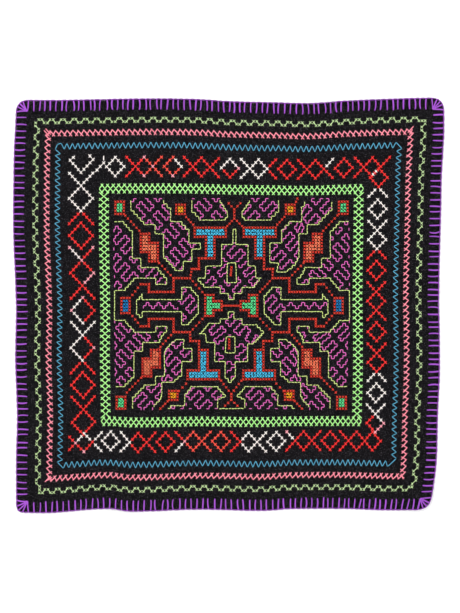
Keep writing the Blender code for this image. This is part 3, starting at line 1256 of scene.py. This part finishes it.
# %% Crosses and lines of crosses
CROSS_HALF_X = 0.90
CROSS_HALF_Y = 0.94
OVER_PANEL = 0.28
LINE_PITCH = 2.3
SLANT_PITCH = 3.5
LEAST_SLANT = 2.0


def panel_cross(piece, point, grow=1.0, loose=LOOSE):
    """One counted cross at a place on the cloth."""
    x, y = point
    half_x = CROSS_HALF_X * grow
    half_y = CROSS_HALF_Y * grow
    sew(piece, (x - half_x, y - half_y), (x + half_x, y + half_y), loose=loose)
    sew(piece, (x - half_x, y + half_y), (x + half_x, y - half_y), OVER_PANEL, loose)


def slants(start, end):
    """True if a run goes both across and up the cloth."""
    return abs(end[0] - start[0]) > LEAST_SLANT and abs(end[1] - start[1]) > LEAST_SLANT


def cross_path(piece, corners):
    """Crosses along a path of cell points, closer together where it is level or upright."""
    for first, last in zip(corners, corners[1:]):
        start = panel_point(*first)
        end = panel_point(*last)
        pitch = SLANT_PITCH if slants(start, end) else LINE_PITCH
        count = max(round(math.dist(start, end) / pitch), 1)
        for number in range(count + 1):
            panel_cross(piece, between(start, end, number / count))


def mirrored(path, mirror):
    """The same path in another quarter."""
    return [(across * mirror[0], upward * mirror[1]) for across, upward in path]


print("cells of the panel from middle to side:", PANEL_ROWS[-1].cell)

# %% [markdown]
# A filled block is found by trying each cell of its box. A cell whose middle is inside the
# outline gets a cross. If all its eight neighbours are inside too, the cross is a filling one,
# and otherwise it belongs to the red border, so each shape is written once, as its outline.
# Filling crosses are a little larger and looser, because the real ones hide most of the cloth.

# %% Filled blocks
FILL_GROWTH = 1.15
FILL_LOOSE = 0.24
NEIGHBOURS = [(across, upward) for across in (-1, 0, 1) for upward in (-1, 0, 1)]


def inside(point, outline):
    """True if a cell point lies inside a closed outline."""
    x, y = point
    odd = False
    for (x0, y0), (x1, y1) in zip(outline, outline[1:] + outline[:1]):
        if (y0 > y) != (y1 > y) and x < x0 + (y - y0) / (y1 - y0) * (x1 - x0):
            odd = not odd
    return odd


def filled_block(outline, filling, mirror):
    """Red crosses round the border of a shape and filling crosses inside it."""
    left = min(corner[0] for corner in outline)
    right = max(corner[0] for corner in outline)
    bottom = min(corner[1] for corner in outline)
    top = max(corner[1] for corner in outline)
    columns = round(right - left)
    rows = round(top - bottom)
    step_x = (right - left) / columns
    step_y = (top - bottom) / rows
    for column in range(columns):
        for row in range(rows):
            x = left + (column + 0.5) * step_x
            y = bottom + (row + 0.5) * step_y
            if not inside((x, y), outline):
                continue
            place = panel_point(x * mirror[0], y * mirror[1])
            near = [(x + dx * step_x, y + dy * step_y) for dx, dy in NEIGHBOURS]
            if all(inside(neighbour, outline) for neighbour in near):
                panel_cross(filling, place, FILL_GROWTH, FILL_LOOSE)
            else:
                panel_cross("panel_red", place)


print("cells looked at for each cross:", len(NEIGHBOURS))

# %% [markdown]
# The red paths and the blocks are charted for the upper right quarter: a T with a blue filling,
# a stepped salmon block, and small green and orange ones. The necks, which join the skeleton to
# the foot of each T, and the short ends at the panel's edge aren't the same in every quarter,
# so they are in a table by quarter. The blocks below the middle sit up to one cell nearer to
# it or farther from it than those above.

# %% The red skeleton
RED_PATHS = [
    [(38.5, 29.5), (33.5, 24.5)],
    [(26.5, 14.0), (21.0, 9.0), (15.0, 9.0)],
    chart((21.0, 9.0), "S4.5 E9 N2.5 E3 E3S3.5"),
    [(14.0, 8.0), (10.5, 4.5)],
    [(14.5, 26.5), (17.0, 29.0)],
]
NECKS = {
    (-1, 1): [chart((15.0, 9.0), "N3 W2.5 N3.5 W2")],
    (1, 1): [chart((15.0, 9.0), "W2N3 W3 N3"), [(21.0, 34.0), (22.0, 35.0)]],
    (-1, -1): [chart((15.0, 9.0), "W2N3 W3 N3"), [(21.0, 32.5), (26.5, 35.0)]],
    (1, -1): [chart((15.0, 9.0), "W2N3 W3 N3"), [(21.0, 32.5), (26.5, 35.0)]],
}
Block = namedtuple("Block", "outline filling lower")
BLOCKS = [
    Block(outline=chart((2.5, 22.0), "E4 S7 E4 N7 E4 N4 W12"), filling="fill_sky_blue", lower=-0.5),
    Block(outline=chart((30.5, 17.0), "S3 W4 N7 E3 N3 E4 S7"), filling="fill_salmon", lower=0.5),
    Block(outline=chart((38.5, 29.5), "E4 N5 W4"), filling="fill_green", lower=1.0),
    Block(outline=chart((17.0, 29.5), "E4 N4 W4"), filling="fill_orange", lower=-1.0),
]
for mirror in QUARTERS:
    for path in RED_PATHS + NECKS[mirror]:
        cross_path("panel_red", mirrored(path, mirror))
    for block in BLOCKS:
        shift = block.lower if mirror[1] < 0 else 0.0
        outline = [(across, upward + shift) for across, upward in block.outline]
        filled_block(outline, block.filling, mirror)
SIDE_BLOCK = chart((36.5, -3.0), "E4 N6 W4")
STUB_BLOCK = chart((3.0, -2.0), "E3 S2 E4 N8 W4 S2 W3")
for mirror in ((-1, 1), (1, 1)):
    filled_block(SIDE_BLOCK, "fill_teal", mirror)
    filled_block(STUB_BLOCK, "fill_green", mirror)
print("red crosses so far:", len(stitches["panel_red"]) // 2)

# %% [markdown]
# On the upright middle line stand two forked stems, each of which joins two T's, and a short row
# of crosses inside each of the small centre frames. The green blocks at the waist are joined by a
# bar of two rows of straight stitches, the only red stitches of the panel that aren't crosses.

# %% The middle line of the skeleton
MIDDLE_PATHS = [
    [(-2.0, 33.5), (0.0, 31.5), (0.0, 28.5), (-2.5, 26.0)],
    [(2.0, 33.5), (0.0, 31.5)],
    [(0.0, 28.5), (2.5, 26.0)],
    [(-2.5, -25.5), (0.0, -30.0), (0.0, -32.0), (-1.5, -34.0)],
    [(2.5, -25.5), (0.0, -30.0)],
    [(0.0, -32.0), (1.5, -34.0)],
    [(-1.0, 12.5), (-0.5, 10.0)],
    [(-0.5, -11.5), (-0.5, -14.5)],
]
for path in MIDDLE_PATHS:
    cross_path("panel_red", path)

BAR_END = 3.4
BAR_STITCHES = 7
BAR_HALF_GAP = 0.42
BAR_LOOSE = 0.05
bar_start = panel_point(-BAR_END, 0.0)
bar_end = panel_point(BAR_END, 0.0)
for number in range(BAR_STITCHES):
    for line in (-BAR_HALF_GAP, BAR_HALF_GAP):
        x0, y0 = between(bar_start, bar_end, number / BAR_STITCHES)
        x1, y1 = between(bar_start, bar_end, (number + 1) / BAR_STITCHES)
        sew("panel_red", (x0, y0 + line), (x1, y1 + line), loose=BAR_LOOSE)
print("red stitches of the panel:", len(stitches["panel_red"]))

# %% [markdown]
# Lime backstitch outlines the fields between the red lines. Level and upright runs are whole
# stitches end to end. A slanting run is a stair of one-cell stitches, because on counted cloth
# every stitch goes from hole to hole. The outlines are also the borders that the magenta
# lines stop at, so they are kept for the next step.

# %% Backstitch lines
LIME_STITCH = 2.55
LIME_LOOSE = 0.15
HOLE_GAP = 0.06


def stair(first, last):
    """The corner points of a run in whole cells: straight, or as a stair if it slants."""
    if not slants(panel_point(*first), panel_point(*last)):
        return [first, last]
    across = last[0] - first[0]
    upward = last[1] - first[1]
    count = max(round(max(abs(across), abs(upward))), 1)
    points = [first]
    for number in range(1, count + 1):
        x = first[0] + across * number / count
        y = first[1] + upward * number / count
        points.append((x, points[-1][1]))
        points.append((x, y))
    return points


def backstitch(piece, path):
    """Stitches end to end along a path of cell points."""
    for first, last in zip(path, path[1:]):
        points = stair(first, last)
        for start, end in zip(points, points[1:]):
            begin = panel_point(*start)
            finish = panel_point(*end)
            count = max(round(math.dist(begin, finish) / LIME_STITCH), 1)
            for number in range(count):
                hole = between(begin, finish, (number + HOLE_GAP) / count)
                next_hole = between(begin, finish, (number + 1 - HOLE_GAP) / count)
                sew(piece, hole, next_hole, loose=LIME_LOOSE)


print("length of a lime stitch, mm:", LIME_STITCH)

# %% [markdown]
# The fields lie between the red lines, and each has one lime outline. It is a list of runs that
# one can count off along the cloth, and most start where the field meets the panel's edge or
# its middle line. The stepped fields, the pouches between them and the two centre fields have
# charts of their own where the real cloth's quarters differ.

# %% The fields, charted for the upper right quarter
SIDE_FIELD = chart((42.5, 27.5), "W2.5 W4S4 S8 W3 S3 W5 W4.5S4.5 S1 E4 N2 E7 E4S4 E4 S5")
STEP_UPPER_LEFT = chart(
    (36.5, 34.5),
    "S3.5 W4.5S4.5 W4 S3 W3 S8 W4S4 W3 N3 W3 N4 W3 N2 E4 N4.5 E2.5N2.5 E4 N4.5 E2.5N2.5",
)
STEP_UPPER_RIGHT = chart(
    (36.5, 34.0),
    "S3 W4.5S4.5 W4 S3 W5 S8 W4.5S4.5 W3.5 N3 W3 N6.5 E4 N4.5 E2.5N2.5 E6.5 N5 E2 N1.5",
)
STEP_LOWER = chart((36.5, 35.0), "S4 W4S4 W4 S3 W5 S8.5 W5S4 W3 N3 W3 N4.5 E3.5 N5 E2.5N2 E7 N5 E3.5N3.5")
STEP_FIELDS = {
    (-1, 1): STEP_UPPER_LEFT,
    (1, 1): STEP_UPPER_RIGHT,
    (-1, -1): STEP_LOWER,
    (1, -1): STEP_LOWER,
}
POUCH_UPPER = chart((15.0, 34.5), "S4 W2.5S2.5 W8.5 W1.5N1.5 N1.5 E2.5N3.5")
POUCH_LOWER = chart((21.0, 35.0), "W1S1 W5 S4 W2S2.5 W9 W2.5N3.5 E2N1.5 N2.5")
CENTRE_UPPER_RIGHT = chart((0.0, 25.0), "E0.5 S5 E4 S7 E2.5 E2S4 E2 W2.5S3 W4.5 S2 W3 S2 W1")
CENTRE_UPPER_LEFT = chart((0.0, 25.0), "E0.5 S5 E4 S7 E5.5 W0.5S4 E2.5 W3S3 W5 S2 W3 S2 W1")
CENTRE_LOWER_LEFT = chart((0.0, 2.0), "E1 N2.5 E3 N1.5 E4.5 E3N3.5 W2.5 W1.5N3 W3 N6.5 W3 N4.5 W1.5N2.5")
CENTRE_LOWER_RIGHT = chart((0.0, 2.0), "E1 N2.5 E3 N2 E4.5 E3N3 W5N3.5 W2 N6 W3.5 N5.5 W1N1.5")
HAT = chart((32.5, 4.0), "S2 W14.5 N4 W2.5 W3.5S3.5 S5.5 E3.5S3.5 E2.5 N4.5 E14.5 S2 E2N2 N4 W2N2")
FRAME_UPPER = chart((-2.5, 14.0), "E3 E1.5S6.5 W3.5 W1N6.5")
FRAME_LOWER = chart((-1.5, -10.5), "E2.5 S5.5 W2.5 N5.5")
CENTRE_UPPER = CENTRE_UPPER_RIGHT + mirrored(CENTRE_UPPER_LEFT, (-1, 1))[::-1]
CENTRE_LOWER = mirrored(CENTRE_LOWER_RIGHT, (1, -1)) + mirrored(CENTRE_LOWER_LEFT, (-1, -1))[::-1]
print("corners of the largest field:", len(STEP_UPPER_LEFT))

# %% [markdown]
# The outlines of the centre, the two frames in it, the bars beside it and a short line at the
# lower edge are sewn once. Those of the side fields, the stepped fields and the pouches are
# sewn in all four quarters.

# %% The lime outlines
LIME_PATHS = [CENTRE_UPPER, CENTRE_LOWER, FRAME_UPPER, FRAME_LOWER, mirrored(HAT, (-1, 1)), HAT]
LIME_PATHS.append([(-3.0, -35.0), (3.0, -35.0)])
for mirror in QUARTERS:
    pouch = POUCH_UPPER if mirror[1] > 0 else POUCH_LOWER
    LIME_PATHS += [mirrored(path, mirror) for path in (SIDE_FIELD, STEP_FIELDS[mirror], pouch)]
for path in LIME_PATHS:
    backstitch("lime_lines", path)
print("lime stitches:", len(stitches["lime_lines"]))

# %% [markdown]
# Magenta meanders fill the fields. They all follow one counting rule: three cells of stair one
# way, a turn, three cells back, a turn, so that each repeat ends three cells along and three
# cells down from where it began. Copies of that line nine cells apart fill a field, and every
# stitch whose middle is outside the field's lime outline is left out. Written as a rule, one
# string of moves makes all of them, and a mirrored copy makes the other hand.

# %% The meander rule
MEANDER = "URURUR" + "DRD" + "LDLDLD" + "RDR"
LOW_ZIGZAG = "URURDRDR"
MOVES = {"U": (0.0, 1.0), "D": (0.0, -1.0), "L": (-1.0, 0.0), "R": (1.0, 0.0)}
REPEAT_SHIFT = 3.0
STRIPE_GAP = 9.0
SPARE_BEHIND = 3
SPARE_REPEATS = 8
SPARE_STRIPES = 4
TIP_ALONG = 2.0
TIP_UP = 3.0
MARGIN = 0.45
MEANDER_LOOSE = 0.07


def outline_gap(point, outline):
    """The distance in cells from a point to the nearest line of an outline."""
    x, y = point
    nearest = math.inf
    for (x0, y0), (x1, y1) in zip(outline, outline[1:]):
        run_x = x1 - x0
        run_y = y1 - y0
        square = max(run_x ** 2 + run_y ** 2, TINY)
        share = min(max(((x - x0) * run_x + (y - y0) * run_y) / square, 0.0), 1.0)
        nearest = min(nearest, math.hypot(x - x0 - share * run_x, y - y0 - share * run_y))
    return nearest


def run_moves(moves, start, repeats, hand, outline, holes):
    """Sew a line of one-cell moves wherever it is inside the outline and outside its holes."""
    x, y = start
    for move in moves * repeats:
        step_x, step_y = MOVES[move]
        next_x = x + step_x * hand
        next_y = y + step_y
        middle = (0.5 * (x + next_x), 0.5 * (y + next_y))
        in_field = inside(middle, outline) and outline_gap(middle, outline) > MARGIN
        in_hole = any(inside(middle, hole) or outline_gap(middle, hole) < MARGIN for hole in holes)
        if in_field and not in_hole:
            start_point = panel_point(x, y)
            end_point = panel_point(next_x, next_y)
            sew("magenta_meander", start_point, end_point, loose=MEANDER_LOOSE)
        x = next_x
        y = next_y


def fill_field(outline, tip, hand, holes):
    """Fill an outline with meanders. tip is the left end of a top tip, and hand 1 is for / runs."""
    left = min(corner[0] for corner in outline)
    right = max(corner[0] for corner in outline)
    width = right - left
    height = max(corner[1] for corner in outline) - min(corner[1] for corner in outline)
    room_behind = max(tip[0] - left, 0.0) if hand > 0 else max(right - tip[0], 0.0)
    behind = int(room_behind / REPEAT_SHIFT) + SPARE_BEHIND
    repeats = int(width / REPEAT_SHIFT) + SPARE_REPEATS + behind
    stripes = int((width + height) / STRIPE_GAP) + SPARE_STRIPES
    back = REPEAT_SHIFT * behind
    start_x = tip[0] - hand * (back + TIP_ALONG)
    for stripe in range(-stripes, stripes + 1):
        start_y = tip[1] + back - TIP_UP + stripe * STRIPE_GAP
        run_moves(MEANDER, (start_x, start_y), repeats, hand, outline, holes)


print("stitches in one repeat:", len(MEANDER))

# %% [markdown]
# Each row is one field: its closed shape in the upper right quarter, the quarter it is mirrored
# to, where the left end of one of its meander's tips is, which hand it has, and what stays free
# inside it. Fields that are open at the panel's edge are closed just past it, so that the
# meanders run up to the edge.

# %% The shapes that the meanders fill
EDGE = 43.5
TOP = 35.6


def opened(path):
    """A field that is open at the panel's upper or lower edge, closed just past it."""
    return path + [(path[-1][0], TOP), (path[0][0], TOP), path[0]]


SIDE_SHAPE = SIDE_FIELD[1:-1] + [(EDGE, 5.0), (EDGE, 27.5), SIDE_FIELD[1]]
HAT_END = chart((20.0, 2.0), "W2 N4 W2.5 W3.5S3.5 S5.5 E3.5S3.5 E2.5 N4.5 E2 N4")
Fill = namedtuple("Fill", "shape mirror tip hand holes", defaults=[()])
FILLS = [
    Fill(shape=SIDE_SHAPE, mirror=(-1, 1), tip=(-39.0, 23.0), hand=1),
    Fill(shape=SIDE_SHAPE, mirror=(1, 1), tip=(36.0, 17.5), hand=-1),
    Fill(shape=SIDE_SHAPE, mirror=(-1, -1), tip=(-37.0, -12.0), hand=-1),
    Fill(shape=SIDE_SHAPE, mirror=(1, -1), tip=(37.0, -12.0), hand=1),
    Fill(shape=opened(STEP_UPPER_LEFT), mirror=(-1, 1), tip=(-32.5, 34.0), hand=-1),
    Fill(shape=opened(STEP_UPPER_RIGHT), mirror=(1, 1), tip=(27.5, 33.0), hand=1),
    Fill(shape=opened(STEP_LOWER), mirror=(-1, -1), tip=(-30.5, -32.5), hand=1),
    Fill(shape=opened(STEP_LOWER), mirror=(1, -1), tip=(30.5, -32.5), hand=-1),
    Fill(shape=opened(POUCH_UPPER), mirror=(-1, 1), tip=(-12.0, 34.0), hand=-1),
    Fill(shape=opened(POUCH_UPPER), mirror=(1, 1), tip=(12.5, 34.0), hand=1),
    Fill(shape=opened(POUCH_LOWER), mirror=(-1, -1), tip=(-10.5, -29.0), hand=1),
    Fill(shape=opened(POUCH_LOWER), mirror=(1, -1), tip=(8.0, -29.0), hand=1),
    Fill(shape=CENTRE_UPPER, mirror=(1, 1), tip=(1.5, 18.5), hand=1, holes=[FRAME_UPPER]),
    Fill(shape=CENTRE_LOWER, mirror=(1, 1), tip=(-4.0, -7.0), hand=1, holes=[FRAME_LOWER]),
    Fill(shape=HAT_END, mirror=(-1, 1), tip=(-15.5, 3.5), hand=1),
    Fill(shape=HAT_END, mirror=(1, 1), tip=(14.5, 3.5), hand=1),
]
print("fields to fill:", len(FILLS))

# %% [markdown]
# Most fields take the full meander. The long bars at the waist are too low for it, so only
# their wide ends get it, and a plain zigzag of two cells up and two down fills the rest.

# %% The meanders
ZIGZAG_REPEATS = 4
for fill in FILLS:
    fill_field(mirrored(fill.shape, fill.mirror), fill.tip, fill.hand, fill.holes)
for mirror, start in (((-1, 1), (-32.0, -1.0)), ((1, 1), (20.0, -1.0))):
    hat_end = mirrored(HAT_END, mirror)
    run_moves(LOW_ZIGZAG, start, ZIGZAG_REPEATS, 1, mirrored(HAT, mirror), [hat_end])
print("meander stitches:", len(stitches["magenta_meander"]))

# %% [markdown]
# Now all lists of stitches are full, and each becomes two pieces: what shows on the face, and
# the runs on the back. One table says which yarn a list is sewn with, how thick that yarn is,
# and whether its places are still those of the plain rectangle and have to be laid out. The
# panel was counted on the cloth as it lies, so its stitches stay where they are.

# %% The threads
Thread = namedtuple("Thread", "yarn slot radius laid")
THREADS = {
    "lime_wave": Thread(yarn="pale_lime", slot="thread_lime", radius=0.23, laid=True),
    "pink_herringbone": Thread(yarn="pink", slot="thread_pink", radius=0.45, laid=True),
    "blue_zigzag": Thread(yarn="blue", slot="thread_blue", radius=0.27, laid=True),
    "green_lattice": Thread(yarn="green", slot="thread_green", radius=0.41, laid=True),
    "band_red": Thread(yarn="red", slot="thread_red", radius=0.42, laid=True),
    "band_orange_red": Thread(yarn="orange_red", slot="thread_red", radius=0.42, laid=True),
    "band_white": Thread(yarn="white", slot="thread_white", radius=0.42, laid=True),
    "band_pink": Thread(yarn="pale_pink", slot="thread_pink", radius=0.42, laid=True),
    "panel_red": Thread(yarn="panel_red", slot="thread_red", radius=0.24, laid=False),
    "fill_sky_blue": Thread(yarn="sky_blue", slot="thread_blue", radius=0.29, laid=False),
    "fill_teal": Thread(yarn="teal_blue", slot="thread_blue", radius=0.29, laid=False),
    "fill_green": Thread(yarn="fill_green", slot="thread_green", radius=0.29, laid=False),
    "fill_orange": Thread(yarn="orange", slot="thread_orange", radius=0.30, laid=False),
    "fill_salmon": Thread(yarn="salmon", slot="thread_red", radius=0.31, laid=False),
    "lime_lines": Thread(yarn="lime", slot="thread_lime", radius=0.29, laid=False),
    "magenta_meander": Thread(yarn="magenta", slot="thread_magenta", radius=0.28, laid=False),
}
for name, thread in THREADS.items():
    make_thread(name, *thread)
print("stitches on the face:", sum(len(rows) for rows in stitches.values()))

# %% [markdown]
# Soft yarn is hairy, and against a white table that shows as a faint purple haze round the
# cloth. Under two thousand very thin bent fibres are enough for it. Those of the rim start in
# its cord and point outwards, and those of the legs lie over the cloth at random.

# %% Fuzz at the rim
RIM_FIBRES = 900
LEG_FIBRES = 800
FIBRE_RADIUS = 0.035
FIBRE_CURL = 0.3
RIM_REACH = (0.5, 1.9)
RIM_SPREAD = 0.9
RIM_TILT = 0.25
LEG_REACH = (0.6, 1.6)
LEG_TOP = 0.3
FIBRE_FLOOR = 0.12
FIBRE_TAPER = np.array([1.0, 0.9, 0.7, 0.4])


def fibre(start, way):
    """Four ring middles of a bent fibre."""
    curl = np.array([CHANCE.gauss(0.0, FIBRE_CURL), CHANCE.gauss(0.0, FIBRE_CURL), 0.0])
    return [start, start + 0.35 * way + 0.5 * curl, start + 0.7 * way + curl, start + way + 1.2 * curl]


def rim_fibres(cord, count):
    """Short fibres that leave the rim cord."""
    rings = []
    for number in range(count):
        bow = cord[CHANCE.randrange(len(cord))]
        start = bow[CHANCE.randrange(1, 4)]
        outward = (start[0] / HALF_WIDTH, start[1] / HALF_HEIGHT)
        big = 0 if abs(outward[0]) > abs(outward[1]) else 1
        way = np.zeros(3)
        way[big] = math.copysign(1.0, outward[big])
        way[1 - big] = CHANCE.gauss(0.0, RIM_SPREAD)
        way[2] = CHANCE.gauss(0.0, RIM_TILT)
        rings.append(fibre(start, way * CHANCE.uniform(*RIM_REACH) / np.linalg.norm(way)))
    return rings


def leg_fibres(paths, count):
    """Short fibres that leave the upper side of the legs."""
    rings = []
    for number in range(count):
        path = paths[CHANCE.randrange(len(paths))]
        start = path[CHANCE.randrange(1, 5)] + np.array([0.0, 0.0, LEG_TOP])
        turn = CHANCE.uniform(0.0, 2 * math.pi)
        way = np.array([math.cos(turn), math.sin(turn), CHANCE.uniform(-0.1, 0.2)])
        rings.append(fibre(start, way * CHANCE.uniform(*LEG_REACH)))
    return rings


fuzz = np.array(rim_fibres(cord_paths, RIM_FIBRES) + leg_fibres(leg_paths, LEG_FIBRES))
fuzz[:, :, 2] = np.maximum(fuzz[:, :, 2], FIBRE_FLOOR)
fuzz_radii = np.tile(FIBRE_RADIUS * FIBRE_TAPER, (len(fuzz), 1))
add_piece("rim_fuzz", tube_mesh("rim_fuzz", fuzz, fuzz_radii, sides=3), "purple")

# %% [markdown]
# The stitches go with the sheet. Then comes a plain white table under the cloth.

TABLE_SIZE = 6.0
PAPER_WHITE = 0.95
bpy.ops.mesh.primitive_plane_add(size=TABLE_SIZE, location=(0.0, 0.0, 0.0))
table = bpy.context.active_object
table.name = "table"
table_material, table_tree, table_shader = new_material("white_paper")
table_shader.inputs["Base Color"].default_value = (PAPER_WHITE, PAPER_WHITE, PAPER_WHITE, 1.0)
table_shader.inputs["Roughness"].default_value = 0.9
table_shader.inputs["Specular IOR Level"].default_value = 0.1
table.data.materials.append(table_material)

# %% [markdown]
# The photograph was taken from straight above with a long lens, so the camera is as far away as
# a long lens needs for 521 mm of height. It stands a millimetre or so off the cloth's middle,
# because the cloth doesn't lie quite in the middle of the picture.

# %% Camera
MM_PER_PIXEL = 0.85
PICTURE_HEIGHT = 613
SHIFT_RIGHT = 0.85
SHIFT_DOWN = 1.28
LENS = 150.0
SENSOR = 36.0
view_height = PICTURE_HEIGHT * MM_PER_PIXEL
camera_data = bpy.data.cameras.new("camera")
camera_data.type = "PERSP"
camera_data.lens = LENS
camera_data.sensor_width = SENSOR
camera_data.clip_end = 20.0
camera = bpy.data.objects.new("camera", camera_data)
bpy.context.scene.collection.objects.link(camera)
camera_x = SHIFT_RIGHT - MIDDLE_X
camera_y = -SHIFT_DOWN - MIDDLE_Y
camera.location = (camera_x * MM, camera_y * MM, (view_height * LENS / SENSOR + SHEET_TOP) * MM)
bpy.context.scene.camera = camera
print("camera height, m:", round(camera.location.z, 3))

# %% [markdown]
# The light in the photograph is very soft, and there are almost no shadows. An even white world
# does most of the work, and two large area lights, from the upper left and the lower right, give
# the threads a little shape. "Standard" keeps the yarn colours as they were set.


# %% Light
def area_light(name, place, size, power):
    """A square soft light that looks at the middle of the cloth."""
    data = bpy.data.lights.new(name, "AREA")
    data.size = size
    data.energy = power
    light = bpy.data.objects.new(name, data)
    light.location = place
    bpy.context.scene.collection.objects.link(light)
    aim = light.location.copy()
    aim.negate()
    light.rotation_euler = aim.to_track_quat("-Z", "Y").to_euler()
    return light


area_light("key", place=(-0.9, 1.0, 1.5), size=0.8, power=19.0)
area_light("fill", place=(1.2, -0.6, 1.4), size=1.0, power=7.0)
world = bpy.data.worlds.new("studio")
world.use_nodes = True
world.node_tree.nodes["Background"].inputs["Color"].default_value = (1.0, 1.0, 1.0, 1.0)
world.node_tree.nodes["Background"].inputs["Strength"].default_value = 1.0
bpy.context.scene.world = world
bpy.context.scene.view_settings.view_transform = "Standard"
print("lights:", len(bpy.data.lights))
